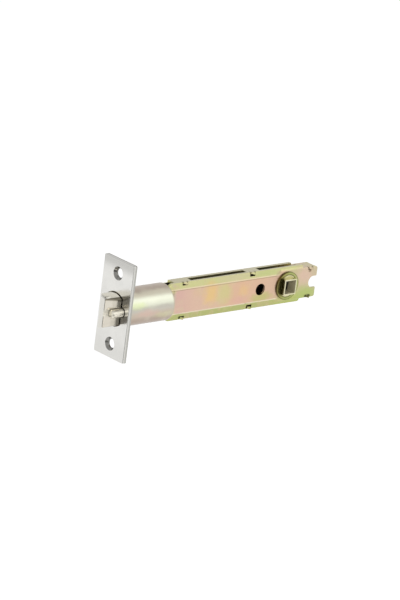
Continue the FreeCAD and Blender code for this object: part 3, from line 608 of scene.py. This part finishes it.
@dataclass(frozen=True)
class BoltFinish(SatinFinish):
    """Nickel of the bolt: painted light on its rounded side and round top, painted shade at both ends of its
    flat and along its upper edge, matt in its cast groove.
    """

    flat_at: Span = (-0.0043, -0.0045)
    # Painted light: the rounded side is painted lighter clear of the plate.
    side_light: Colour = tone(216, 214, 207)
    side_light_at: Span = (-0.0015, -0.0035)
    # Painted shade: both ends of the flat are painted darker.
    flat_shade: Colour = tone(152, 149, 131)
    flat_shade_rear: Span = (-0.0069, -0.0055)
    flat_shade_tip: Span = (-0.0109, -0.0112)
    flat_shade_share: float = 0.2
    # Painted highlight on the bolt's round top.
    top_highlight: Colour = tone(252, 248, 236)
    crown_rise: Span = (0.0064, 0.0078)
    crown_run: Span = (-0.0102, -0.0094)
    # Painted shade: a dark line along the upper edge of the flat.
    flat_edge_shade: Colour = tone(112, 106, 90)
    flat_edge_shade_at: Span = (0.0086, 0.0092)
    flat_edge_shade_rise: Span = (0.0, 0.001)
    flat_edge_shade_share: float = 0.8
    groove: Colour = tone(232, 228, 215)
    groove_at: Span = (0.0030, 0.00294)
    groove_matt: float = 0.9
    pin_across: float = -0.0070

    def tint(self, effects: Effects, surface: Surface) -> Socket:
        """Clouded colour with painted light on the rounded side and top, painted shade at the flat's ends
        and a painted shade line along the flat's upper edge.

        Args:
            effects: The shared groups.
            surface: The material under way.

        Returns:
            The colour's socket.
        """
        graph = surface.graph
        colour = super().tint(effects, surface)
        run, across, rise = graph.axes(surface.place)
        flat = graph.span(across, self.flat_at)
        rounded = graph.rest(flat)
        # Painted light on the rounded side.
        colour = graph.blend(graph.times(graph.span(run, self.side_light_at), rounded), colour, self.side_light)
        # Painted shade at both ends of the flat.
        ends = graph.math("MAXIMUM", graph.span(run, self.flat_shade_rear), graph.span(run, self.flat_shade_tip))
        colour = graph.blend(graph.times(ends, flat, self.flat_shade_share), colour, self.flat_shade)
        # Painted highlight on the round top.
        high = graph.span(graph.math("ABSOLUTE", rise), self.crown_rise)
        colour = graph.blend(graph.times(high, graph.span(run, self.crown_run), rounded), colour, self.top_highlight)
        # Painted shade along the flat's upper edge.
        flat_edge_shade = graph.times(graph.span(graph.reach(across, rise), self.flat_edge_shade_at), flat,
                            graph.span(rise, self.flat_edge_shade_rise), self.flat_edge_shade_share)
        colour = graph.blend(flat_edge_shade, colour, self.flat_edge_shade)
        off_pin = graph.math("SUBTRACT", across, self.pin_across)
        cast = graph.span(graph.reach(off_pin, rise), self.groove_at)
        graph.feed(surface.shader.inputs["Metallic"], graph.rest(graph.times(cast, self.groove_matt)))
        return graph.blend(cast, colour, self.groove)


@dataclass(frozen=True)
class TintPatch:
    """Cloud of another tint or of painted shade on a plated side: its colour, its middle and its reach along
    X and Z.
    """

    colour: Colour
    x: float
    z: float
    reach_x: float
    reach_z: float
    strength: float = 0.8


@dataclass(frozen=True)
class ChromateFinish(MetalFinish):
    """Yellow zinc plating: its tint drifts along one direction and clouds into other tints."""

    direction: Point = (1.0, 0.0, 0.0)
    begin: float = 0.0
    length: float = 0.15
    wander: float = 0.12
    patch: float = 55.0
    stops: tuple[tuple[float, Colour], ...] = ()
    pale: Colour = (0.75, 0.70, 0.55, 1.0)
    pale_at: Span = (0.5, 0.8)
    washed: float = 0.35
    speckle_base: float = 0.95
    speckle_swing: float = 0.10
    patches: tuple[TintPatch, ...] = ()

    def tint(self, effects: Effects, surface: Surface) -> tuple[Socket, bpy.types.Node]:
        """Colour along the ramp.

        Args:
            effects: The shared groups.
            surface: The material under way.

        Returns:
            The colour and the drift node whose clouds other layers read.
        """
        graph = surface.graph
        drift = graph.group(effects.drift, surface.place, {
            "Direction": self.direction, "Start": self.begin, "Length": self.length,
            "Wander": self.wander, "Patch": self.patch})
        return graph.ramp(drift.outputs["Along"], self.stops), drift

    def patched(self, effects: Effects, surface: Surface, colour: Socket) -> Socket:
        """Lay the tint patches over a colour.

        Args:
            effects: The shared groups.
            surface: The material under way.
            colour: The colour so far.

        Returns:
            The colour with the patches.
        """
        graph = surface.graph
        for patch in self.patches:
            blot = graph.group(effects.blot, surface.place, {
                "Centre": (patch.x, 0.0, patch.z), "Strength": patch.strength,
                "Spread": (1.0 / patch.reach_x, 0.0, 1.0 / patch.reach_z)})
            colour = graph.blend(blot.outputs["Share"], colour, patch.colour)
        return colour

    def dusted(self, surface: Surface, colour: Socket, drift: bpy.types.Node) -> Socket:
        """Pale clouds and a fine speckle over a colour.

        Args:
            surface: The material under way.
            colour: The colour so far.
            drift: The drift node of the same material.

        Returns:
            The colour with both.
        """
        graph = surface.graph
        share = graph.times(graph.span(drift.outputs["Cloud"], self.pale_at), self.washed)
        colour = graph.blend(share, colour, self.pale)
        grain = graph.math("ADD", self.speckle_base,
                           graph.times(drift.outputs["Speckle"], self.speckle_swing))
        return graph.add("ShaderNodeHueSaturation", {"Value": grain, "Color": colour}).outputs[0]

    def make(self, effects: Effects) -> bpy.types.Material:
        """Build the material.

        Args:
            effects: The shared groups.

        Returns:
            The material.
        """
        surface = self.start(effects)
        colour, drift = self.tint(effects, surface)
        colour = self.patched(effects, surface, colour)
        return self.close(surface, self.dusted(surface, colour, drift))


@dataclass(frozen=True)
class CaseFinish(ChromateFinish):
    """Chromate of the pressed case: other tints on the side bands, the bottom band also painted darker as
    shade, painted highlights and a painted shade line at the panel borders, cut edges, and painted shade
    inside.
    """

    front_at: Span = (0.1215, 0.1175)
    above_at: Span = (-0.001, 0.001)
    # Tints of the side bands; the bottom band is also painted darker as shade, since it faces down.
    upper: Colour = tone(204, 203, 146)
    shaded_lower: Colour = tone(174, 178, 116)
    band_at: Span = (0.0070, 0.0077)
    rear_band_at: Span = (0.0088, 0.0100)
    band_clouds: Span = (0.1, 0.5)
    # Painted highlight along the panel borders, brighter at the bottom border.
    crease_highlight: Colour = tone(222, 208, 174)
    low_crease_highlight: Colour = tone(240, 230, 206)
    crease_rise: float = 0.00725
    crease_width: Span = (0.0006, 0.0001)
    crease_share: float = 0.85
    # Painted shade: a thin dark line along the top border of the panel.
    line: Colour = tone(150, 126, 98)
    line_rise: float = 0.00675
    line_width: Span = (0.0004, 0.0001)
    shade_line_share: float = 0.55
    edge: Colour = tone(197, 191, 160)
    edge_at: Span = (0.01100, 0.01112)
    # Painted shade: the inside of the case, seen through the slots, is painted dark, reddish brown near the
    # hub.
    inside: Colour = tone(58, 46, 34)
    inside_shade_by_hub: Colour = tone(118, 70, 56)
    inside_across: Span = (0.00325, 0.00305)
    inside_rise: Span = (0.0099, 0.0096)
    inside_run: Span = (0.1345, 0.1325)
    hub_from: Span = (0.113, 0.121)

    def make(self, effects: Effects) -> bpy.types.Material:
        """Build the material.

        Args:
            effects: The shared groups.

        Returns:
            The material.
        """
        surface = self.start(effects)
        graph = surface.graph
        colour, drift = self.tint(effects, surface)
        run, side, rise = graph.axes(surface.place)
        height = graph.math("ABSOLUTE", rise)
        front = graph.span(run, self.front_at)
        above = graph.span(rise, self.above_at)
        bands = graph.math("ADD", graph.times(graph.span(height, self.band_at), front),
                           graph.times(graph.span(height, self.rear_band_at), graph.rest(front)))
        share = graph.times(bands, graph.span(drift.outputs["Cloud"], self.band_clouds))
        # Band tints, the bottom one painted darker as shade.
        colour = graph.blend(share, colour, graph.blend(above, self.shaded_lower, self.upper))
        colour = self.patched(effects, surface, colour)
        # Painted highlight along the panel borders.
        crease_lit = graph.span(graph.off(height, self.crease_rise), self.crease_width)
        colour = graph.blend(graph.times(crease_lit, front, self.crease_share), colour,
                             graph.blend(above, self.low_crease_highlight, self.crease_highlight))
        # Painted shade line at the top border.
        shade_lined = graph.span(graph.off(rise, self.line_rise), self.line_width)
        colour = graph.blend(graph.times(shade_lined, front, self.shade_line_share), colour, self.line)
        colour = graph.blend(graph.span(height, self.edge_at), colour, self.edge)
        colour = self.dusted(surface, colour, drift)
        # Painted shade inside the case.
        within = graph.times(graph.span(graph.math("ABSOLUTE", side), self.inside_across),
                             graph.span(height, self.inside_rise), graph.span(run, self.inside_run))
        inner_shade = graph.blend(graph.span(run, self.hub_from), self.inside, self.inside_shade_by_hub)
        return self.close(surface, graph.blend(within, colour, inner_shade))


@dataclass(frozen=True)
class HubFinish(ChromateFinish):
    """Chromate of the hub, with painted shade on the left side of its neck and a broached square hole that
    is matt, with painted shade in its depth.
    """

    middle: float = 0.127
    # Painted shade: the neck's sides take the neck colour, and their left (-X) side the dark shade colour.
    neck: Colour = tone(208, 203, 160)
    neck_at: Span = (0.00675, 0.00615)
    shade: Colour = tone(104, 98, 58)
    shade_at: Span = (0.1250, 0.1222)
    hole_at: Span = (0.00396, 0.00392)
    broached: Colour = tone(182, 174, 144)
    # Painted shade: the hole's walls darken towards its depth, along a slant.
    deep: Colour = tone(58, 52, 34)
    hole_shade_at: Span = (-0.0021, -0.0013)
    hole_shade_slant: float = 0.15
    matt: float = 0.85

    def make(self, effects: Effects) -> bpy.types.Material:
        """Build the material.

        Args:
            effects: The shared groups.

        Returns:
            The material.
        """
        surface = self.start(effects)
        graph = surface.graph
        colour, drift = self.tint(effects, surface)
        colour = self.dusted(surface, colour, drift)
        run, side, rise = graph.axes(surface.place)
        across = graph.math("ABSOLUTE", side)
        square = graph.math("MAXIMUM", graph.off(run, self.middle), graph.math("ABSOLUTE", rise))
        hole = graph.span(square, self.hole_at)
        # Painted shade on the left side of the neck.
        neck = graph.blend(graph.span(run, self.shade_at), self.neck, self.shade)
        colour = graph.blend(graph.span(across, self.neck_at), colour, neck)
        # Painted shade deeper in the hole.
        slant = graph.math("SUBTRACT", graph.times(rise, self.hole_shade_slant), across)
        hole_with_shade = graph.blend(graph.span(slant, self.hole_shade_at), self.broached, self.deep)
        graph.feed(surface.shader.inputs["Metallic"], graph.rest(graph.times(hole, self.matt)))
        return self.close(surface, graph.blend(hole, colour, hole_with_shade), free_of_corner_shade=hole)


@dataclass(frozen=True)
class BushFinish(ChromateFinish):
    """Chromate of a hub bush, dark along both edges of its flange, partly joints and partly painted shade,
    with painted shade on its front inner part.
    """

    middle: float = 0.127
    # Dark lines along both flange edges, partly the joints and partly painted shade, and a painted shade
    # crescent on the front inner part of the flange.
    line: Colour = tone(72, 62, 30)
    shade_line_share: float = 0.75
    outer_line: Span = (0.0079, 0.0083)
    inner_line: Span = (0.00715, 0.00675)
    crescent_out: Span = (0.00795, 0.00735)
    crescent_front: Span = (-0.0035, -0.0060)

    def make(self, effects: Effects) -> bpy.types.Material:
        """Build the material.

        Args:
            effects: The shared groups.

        Returns:
            The material.
        """
        surface = self.start(effects)
        graph = surface.graph
        colour, drift = self.tint(effects, surface)
        colour = self.dusted(surface, colour, drift)
        run, _, rise = graph.axes(surface.place)
        aside = graph.math("SUBTRACT", run, self.middle)
        reach = graph.reach(aside, rise)
        # Edge lines, partly joints and partly painted shade, and the painted shade crescent.
        lines = graph.math("MAXIMUM", graph.span(reach, self.outer_line), graph.span(reach, self.inner_line))
        inner_shade = graph.times(graph.span(reach, self.crescent_out), graph.span(aside, self.crescent_front))
        dark = graph.times(graph.math("MAXIMUM", lines, inner_shade), self.shade_line_share)
        return self.close(surface, graph.blend(dark, colour, self.line))


STAINLESS = PlateFinish(
    "satin_stainless", roughness=0.18, grain=Grain.UPRIGHT, fineness=5200.0, depth=0.000005, corner_shade_and_grime_share=0.15,
    colour=tone(224, 223, 219), clouded=tone(218, 217, 213))
NICKEL = BoltFinish(
    "satin_nickel", roughness=0.17, fineness=4200.0, depth=0.000005, corner_shade_and_grime_share=0.2,
    colour=tone(210, 204, 191), clouded=tone(202, 195, 182))
PIN = SatinFinish(
    "turned_nickel", roughness=0.28, fineness=4200.0, depth=0.000005, corner_shade_and_grime_share=0.05,
    colour=tone(226, 221, 207), clouded=tone(216, 210, 196))
PLATED = PlateFinish(
    "plain_plated_steel", roughness=0.36, grain=Grain.LENGTHWISE, fineness=3000.0, corner_shade_and_grime_share=0.25,
    colour=tone(176, 172, 164), clouded=tone(150, 140, 128), ends=tone(170, 166, 160),
    foot_shade=tone(170, 166, 160), edge=tone(174, 173, 167))
OILED = SatinFinish(
    "oiled_steel", roughness=0.38, grain=Grain.LENGTHWISE, fineness=3000.0,
    colour=tone(104, 98, 90), clouded=tone(84, 70, 58))
SPRING = SatinFinish(
    "spring_wire", roughness=0.3, fineness=6000.0, easing=0.00003,
    colour=tone(150, 148, 144), clouded=tone(120, 118, 114))
# Partly the plating's own tint and partly painted light: the colour runs round the barrel by height, with a
# painted highlight on the upper half and painted shade at the top and bottom. The last patch is painted
# shade at the rear end, where the barrel meets the case.
BARREL = ChromateFinish(
    "barrel_chromate", roughness=0.3, grain=Grain.LENGTHWISE, fineness=2600.0,
    direction=(0.0, 0.0, 1.0), begin=-0.0108, length=0.0216, wander=0.16, patch=70.0, washed=0.25,
    stops=((0.02, tone(158, 144, 132)), (0.2, tone(170, 153, 139)), (0.4, tone(193, 180, 164)),
           (0.56, tone(194, 190, 178)), (0.7, tone(217, 219, 200)), (0.82, tone(230, 232, 212)),
           (0.92, tone(226, 219, 198)), (0.985, tone(184, 170, 156))),
    pale=tone(216, 214, 194),
    patches=(TintPatch(tone(216, 226, 170), 0.009, 0.0035, 0.0065, 0.0022, 0.6),
             TintPatch(tone(212, 178, 166), 0.0155, -0.0012, 0.0085, 0.0026, 0.5),
             TintPatch(tone(206, 206, 150), 0.029, -0.0035, 0.007, 0.0022, 0.35),
             TintPatch(tone(190, 183, 162), 0.0356, 0.0, 0.0009, 0.016, 0.9)))
CASE = CaseFinish(
    "case_chromate", roughness=0.32, grain=Grain.LENGTHWISE, fineness=2400.0,
    begin=0.0355, length=0.1145, wander=0.06, patch=60.0,
    stops=((0.0, tone(188, 176, 156)), (0.035, tone(198, 182, 164)), (0.06, tone(208, 172, 160)),
           (0.2, tone(212, 180, 160)), (0.5, tone(214, 178, 150)), (0.72, tone(210, 178, 154)),
           (0.82, tone(198, 186, 146)), (1.0, tone(196, 184, 152))),
    pale=tone(210, 196, 160),
    patches=(TintPatch(tone(222, 190, 132), 0.0685, 0.0022, 0.0064, 0.0075, 0.9),
             TintPatch(tone(204, 194, 140), 0.0785, 0.0015, 0.0064, 0.0085, 0.9),
             TintPatch(tone(222, 186, 136), 0.0935, 0.0012, 0.0042, 0.004, 0.65),
             TintPatch(tone(214, 172, 156), 0.0905, -0.0045, 0.007, 0.0026, 0.7),
             TintPatch(tone(210, 182, 148), 0.060, 0.004, 0.006, 0.003, 0.5),
             TintPatch(tone(202, 196, 142), 0.0385, 0.0068, 0.0036, 0.0026, 0.9),
             TintPatch(tone(200, 196, 144), 0.0385, -0.0068, 0.0036, 0.0024, 0.9),
             TintPatch(tone(188, 184, 120), 0.1075, -0.0048, 0.0085, 0.0034, 0.9),
             TintPatch(tone(176, 186, 106), 0.131, -0.0086, 0.014, 0.0045, 0.9),
             TintPatch(tone(212, 184, 164), 0.141, 0.0045, 0.0075, 0.006, 0.9),
             TintPatch(tone(174, 188, 114), 0.143, -0.0068, 0.0095, 0.0055, 0.9),
             TintPatch(tone(194, 200, 138), 0.111, 0.0094, 0.010, 0.0022, 0.8),
             TintPatch(tone(206, 198, 158), 0.086, 0.0094, 0.015, 0.0022, 0.8),
             # Painted shade: the last two patches darken the tab heads at the rear.
             TintPatch(tone(84, 76, 40), 0.1444, -0.0086, 0.0022, 0.0014, 0.9),
             TintPatch(tone(112, 88, 66), 0.1443, 0.0071, 0.0014, 0.0011, 0.85)))
HUB = HubFinish(
    "hub_chromate", roughness=0.24, fineness=2600.0, corner_shade_and_grime_share=0.8,
    begin=0.119, length=0.016, wander=0.5, patch=110.0,
    stops=((0.0, tone(198, 192, 156)), (0.4, tone(216, 210, 178)), (0.7, tone(206, 202, 164)),
           (1.0, tone(214, 206, 176))),
    pale=tone(226, 222, 200))
# Painted shade: the tint runs darker towards the bush's front (-X) side.
BUSH = BushFinish(
    "bush_chromate", roughness=0.28, fineness=2600.0, corner_shade_and_grime_share=0.85,
    begin=0.117, length=0.02, wander=0.6, patch=90.0,
    stops=((0.0, tone(118, 102, 62)), (0.3, tone(152, 148, 88)), (0.6, tone(160, 168, 102)),
           (1.0, tone(176, 174, 118))),
    pale=tone(186, 188, 130))


def dress(node: str, material: bpy.types.Material) -> None:
    """Give a CAD node its finish.

    Args:
        node: The node's name.
        material: Its material.
    """
    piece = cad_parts[node]
    if not piece.material_slots:
        piece.data.materials.append(material)
    for slot in piece.material_slots:
        slot.material = material
    LOG.info("%s wears %s", node, material.name)


@dataclass
class FrontPlates:
    """Stainless faceplate and the plate behind it."""

    finish: SatinFinish = STAINLESS
    behind: SatinFinish = PLATED

    def build(self, effects: Effects) -> None:
        """Dress both plates.

        Args:
            effects: The shared groups.
        """
        dress("faceplate", self.finish.make(effects))
        dress("backing_plate", self.behind.make(effects))


@dataclass
class BoltSet:
    """Latch bolt and guard plunger, and the bars behind them."""

    finish: BoltFinish = NICKEL
    pin: SatinFinish = PIN
    inner: SatinFinish = OILED
    hidden: tuple[str, ...] = ("drawbar", "drawbar_pins", "plunger_tail", "plunger_tail_pin", "locking_pawl",
                               "pawl_stud", "barrel_plug")

    def build(self, effects: Effects) -> None:
        """Dress the bolt, the plunger and the inner works.

        Args:
            effects: The shared groups.
        """
        dress("latch_bolt", self.finish.make(effects))
        dress("deadlatch_plunger", self.pin.make(effects))
        steel = self.inner.make(effects)
        for node in self.hidden:
            dress(node, steel)


@dataclass
class CaseShell:
    """Barrel and the two pressed case halves."""

    tube: ChromateFinish = BARREL
    sides: CaseFinish = CASE

    def build(self, effects: Effects) -> None:
        """Dress the barrel and the case.

        Args:
            effects: The shared groups.
        """
        dress("barrel", self.tube.make(effects))
        plating = self.sides.make(effects)
        for node in ("near_case_half", "far_case_half", "pawl_pivot"):
            dress(node, plating)


@dataclass
class HubSet:
    """Hub and the two flanged bushes it turns in."""

    finish: HubFinish = HUB
    rings: BushFinish = BUSH

    def build(self, effects: Effects) -> None:
        """Dress the hub and its bushes.

        Args:
            effects: The shared groups.
        """
        dress("hub", self.finish.make(effects))
        ring = self.rings.make(effects)
        for node in ("hub_bush_near", "hub_bush_far"):
            dress(node, ring)


@dataclass
class CoilSpring:
    """Compression spring along the latch."""

    name: str
    node: str
    joint: str
    keep: float
    turns: float
    wire: float
    steps: int = 40
    sides: int = 10

    def build(self, material: bpy.types.Material) -> bpy.types.Object:
        """Make the coil and let it stand for its CAD node.

        Args:
            material: The wire's finish.

        Returns:
            The finished piece.
        """
        low, high = (Vector(corner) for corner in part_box(self.node))
        middle = (low + high) / 2
        outer = (high.z - low.z) / 2
        sizes = {"Turns": self.turns, "Radius": outer - self.wire / 2, "Wire": self.wire / 2,
                 "Length": high.x - low.x - self.wire}
        tree = self._tree(material)
        holder = bpy.data.objects.new(self.name + "_rule", bpy.data.meshes.new(self.name + "_rule"))
        bpy.context.scene.collection.objects.link(holder)
        modifier = holder.modifiers.new("coil", "NODES")
        modifier.node_group = tree
        for item in tree.interface.items_tree:
            if item.in_out == "INPUT" and item.name in sizes:
                modifier[item.identifier] = sizes[item.name]
        state = bpy.context.evaluated_depsgraph_get()
        mesh = bpy.data.meshes.new_from_object(holder.evaluated_get(state))
        bpy.data.objects.remove(holder)
        turn = Matrix.Rotation(math.pi / 2, 4, "Y")
        start = Vector((low.x + self.wire / 2, middle.y, middle.z))
        mesh.transform(Matrix.Translation(start) @ turn)
        piece = bpy.data.objects.new(self.name, mesh)
        bpy.context.scene.collection.objects.link(piece)
        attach(piece, "case")
        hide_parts(self.node)
        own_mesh(piece)
        LOG.info("%s coils in place of %s", self.name, self.node)
        return piece

    def _tree(self, material: bpy.types.Material) -> bpy.types.NodeTree:
        """Geometry nodes that sweep the wire along a spiral.

        Args:
            material: The wire's finish.

        Returns:
            The tree.
        """
        tree = bpy.data.node_groups.new(self.name + "_coil", "GeometryNodeTree")
        tree.interface.new_socket("Geometry", in_out="OUTPUT", socket_type="NodeSocketGeometry")
        for label in ("Turns", "Radius", "Wire", "Length"):
            tree.interface.new_socket(label, in_out="INPUT", socket_type="NodeSocketFloat")
        graph = Graph(tree)
        given = graph.add("NodeGroupInput")
        result = graph.add("NodeGroupOutput")
        path = graph.add("GeometryNodeCurveSpiral", {
            "Resolution": self.steps, "Rotations": given.outputs["Turns"],
            "Start Radius": given.outputs["Radius"], "End Radius": given.outputs["Radius"],
            "Height": given.outputs["Length"]})
        section = graph.add("GeometryNodeCurvePrimitiveCircle", {
            "Resolution": self.sides, "Radius": given.outputs["Wire"]})
        swept = graph.add("GeometryNodeCurveToMesh", {
            "Curve": path.outputs[0], "Profile Curve": section.outputs[0], "Fill Caps": True})
        smooth = graph.add("GeometryNodeSetShadeSmooth", {"Geometry": swept.outputs[0]})
        real = graph.add("GeometryNodeRealizeInstances", {"Geometry": smooth.outputs[0]})
        coat = graph.add("GeometryNodeSetMaterial", {"Geometry": real.outputs[0], "Material": material})
        tree.links.new(coat.outputs[0], result.inputs[0])
        return tree


@dataclass
class Springs:
    """The two springs behind the bolt and the plunger."""

    coils: tuple[CoilSpring, ...] = (
        CoilSpring("bolt_spring_coil", "bolt_spring", "latch_slide",
                   keep=0.603, turns=13.0, wire=0.6 * MM),
        CoilSpring("plunger_spring_coil", "plunger_spring", "plunger_slide",
                   keep=0.6, turns=10.0, wire=0.45 * MM))

    def build(self, effects: Effects) -> None:
        """Make both springs.

        Args:
            effects: The shared groups.
        """
        material = SPRING.make(effects)
        for coil in self.coils:
            coil.build(material)


@dataclass
class PhotoCamera:
    """Camera at the photograph's viewing angle; lengths in millimetres and pixels."""

    azimuth: float = -43.30
    elevation: float = 17.77
    roll: float = 7.36
    distance: float = 2013.0
    scale: float = 1.8016
    aside: float = 47.87
    above: float = 4.81
    rows: int = 600
    sensor: float = 36.0
    sight: float = 50000.0

    def build(self) -> bpy.types.Object:
        """Place the camera.

        Returns:
            The camera's object.
        """
        turn, rise, lean = (math.radians(angle) for angle in (self.azimuth, self.elevation, self.roll))
        back = Vector((math.sin(turn) * math.cos(rise), -math.cos(turn) * math.cos(rise), math.sin(rise)))
        level = Vector((math.cos(turn), math.sin(turn), 0.0))
        upright = back.cross(level)
        right = math.cos(lean) * level + math.sin(lean) * upright
        up = back.cross(right)
        lens = bpy.data.cameras.new("photo_camera")
        lens.sensor_fit = "VERTICAL"
        lens.sensor_height = self.sensor
        lens.lens = self.scale * self.distance / self.rows * self.sensor
        lens.clip_end = self.sight * MM
        camera = bpy.data.objects.new("photo_camera", lens)
        place = (back * self.distance + right * self.aside + up * self.above) * MM
        camera.matrix_world = Matrix((
            (right.x, up.x, back.x, place.x),
            (right.y, up.y, back.y, place.y),
            (right.z, up.z, back.z, place.z),
            (0.0, 0.0, 0.0, 1.0)))
        bpy.context.scene.collection.objects.link(camera)
        bpy.context.scene.camera = camera
        return camera


@dataclass(frozen=True)
class Lamp:
    """A round soft lamp: its place, width in metres and power in watts."""

    name: str
    place: Point
    width: float
    power: float


@dataclass
class Studio:
    """White floor, bright surround with a dim ceiling, soft lamps and a dark mat for the reflections."""

    floor_height: float = -0.20
    floor_reach: float = 14.0
    floor_paint: float = 0.85
    floor_glow: float = 0.41
    surround: tuple[Span, ...] = ((0.0, 0.90), (0.5, 0.90), (0.87, 0.88), (0.95, 0.35), (1.0, 0.22))
    lamps: tuple[Lamp, ...] = (
        Lamp("key", (-0.7, -1.3, 0.85), width=1.2, power=5.0),
        Lamp("side", (1.15, -1.05, 0.75), width=1.3, power=2.0))
    aim: Point = (0.06, 0.0, 0.0)
    mat_turn: float = -43.3
    mat_near: float = 0.28
    mat_far: float = 1.15
    mat_half: float = 0.36
    mat_lift: float = 0.004
    mat_paint: Colour = (0.24, 0.238, 0.228, 1.0)

    def build(self) -> None:
        """Build the surround, the floor, the mat and the lamps."""
        scene = bpy.context.scene
        scene.view_settings.view_transform = "Standard"
        self._surround(scene)
        self._floor(scene)
        self._mat(scene)
        for plan in self.lamps:
            light = bpy.data.lights.new(plan.name, "AREA")
            light.shape = "DISK"
            light.size = plan.width
            light.energy = plan.power
            lamp = bpy.data.objects.new(plan.name, light)
            lamp.location = plan.place
            lamp.rotation_euler = (Vector(self.aim) - Vector(plan.place)).to_track_quat("-Z", "Y").to_euler()
            scene.collection.objects.link(lamp)

    def _surround(self, scene: bpy.types.Scene) -> None:
        """World that is bright round the horizon and dim overhead.

        Args:
            scene: The scene that gets it.
        """
        world = bpy.data.worlds.new("studio")
        world.use_nodes = True
        scene.world = world
        graph = Graph(world.node_tree)
        direction = graph.add("ShaderNodeTexCoord").outputs["Generated"]
        rise = graph.axes(direction)[2]
        share = graph.math("ADD", graph.times(rise, 0.5), 0.5)
        stops = tuple((place, (grey, grey, grey, 1.0)) for place, grey in self.surround)
        graph.feed(graph.tree.nodes["Background"].inputs["Color"], graph.ramp(share, stops))

    def _floor(self, scene: bpy.types.Scene) -> None:
        """White floor that keeps a soft shadow and is clear from below.

        Args:
            scene: The scene that gets it.
        """
        half = self.floor_reach / 2
        mesh = bpy.data.meshes.new("floor")
        square = ((-half, -half), (half, -half), (half, half), (-half, half))
        mesh.from_pydata([(x, y, self.floor_height) for x, y in square], [], [(0, 1, 2, 3)])
        floor = bpy.data.objects.new("floor", mesh)
        scene.collection.objects.link(floor)
        material = bpy.data.materials.new("floor_white")
        material.use_nodes = True
        graph = Graph(material.node_tree)
        tree = graph.tree
        tree.nodes.remove(tree.nodes["Principled BSDF"])
        paint = graph.add("ShaderNodeBsdfDiffuse", {"Color": (self.floor_paint,) * 3 + (1.0,)})
        rays = graph.add("ShaderNodeLightPath")
        seen = graph.math("ADD", rays.outputs["Is Camera Ray"], rays.outputs["Is Glossy Ray"])
        seen = graph.math("ADD", seen, rays.outputs["Is Transmission Ray"], clamp=True)
        glow = graph.add("ShaderNodeEmission", {"Strength": graph.times(seen, self.floor_glow)})
        lit = graph.add("ShaderNodeAddShader", {0: paint.outputs[0], 1: glow.outputs[0]})
        below = graph.add("ShaderNodeNewGeometry").outputs["Backfacing"]
        clear = graph.add("ShaderNodeBsdfTransparent")
        shown = graph.add("ShaderNodeMixShader", {0: below, 1: lit.outputs[0], 2: clear.outputs[0]})
        tree.links.new(shown.outputs[0], tree.nodes["Material Output"].inputs["Surface"])
        mesh.materials.append(material)

    def _mat(self, scene: bpy.types.Scene) -> None:
        """Dark mat on the camera's side of the floor, seen in the metal only.

        Args:
            scene: The scene that gets it.
        """
        turn = math.radians(self.mat_turn)
        away = Vector((math.sin(turn), -math.cos(turn), 0.0))
        aside = Vector((math.cos(turn), math.sin(turn), 0.0))
        lift = Vector((0.0, 0.0, self.floor_height + self.mat_lift))
        spots = ((self.mat_near, -1.0), (self.mat_near, 1.0), (self.mat_far, 1.0), (self.mat_far, -1.0))
        mesh = bpy.data.meshes.new("dark_mat")
        corners = [away * run + aside * self.mat_half * end + lift for run, end in spots]
        mesh.from_pydata(corners, [], [(0, 1, 2, 3)])
        mat = bpy.data.objects.new("dark_mat", mesh)
        scene.collection.objects.link(mat)
        material = bpy.data.materials.new("dark_felt")
        material.use_nodes = True
        felt = material.node_tree.nodes["Principled BSDF"]
        felt.inputs["Base Color"].default_value = self.mat_paint
        felt.inputs["Roughness"].default_value = 1.0
        mesh.materials.append(material)
        mat.visible_camera = False
        mat.visible_diffuse = False
        mat.visible_shadow = False
        mat.visible_transmission = False


def main() -> None:
    """Dress the latch and set up the studio."""
    logging.basicConfig(level=logging.INFO, format="%(name)s: %(message)s")
    effects = Effects()
    for group in (FrontPlates(), BoltSet(), CaseShell(), HubSet(), Springs()):
        group.build(effects)
    PhotoCamera().build()
    Studio().build()


if __name__ == "__main__":
    main()
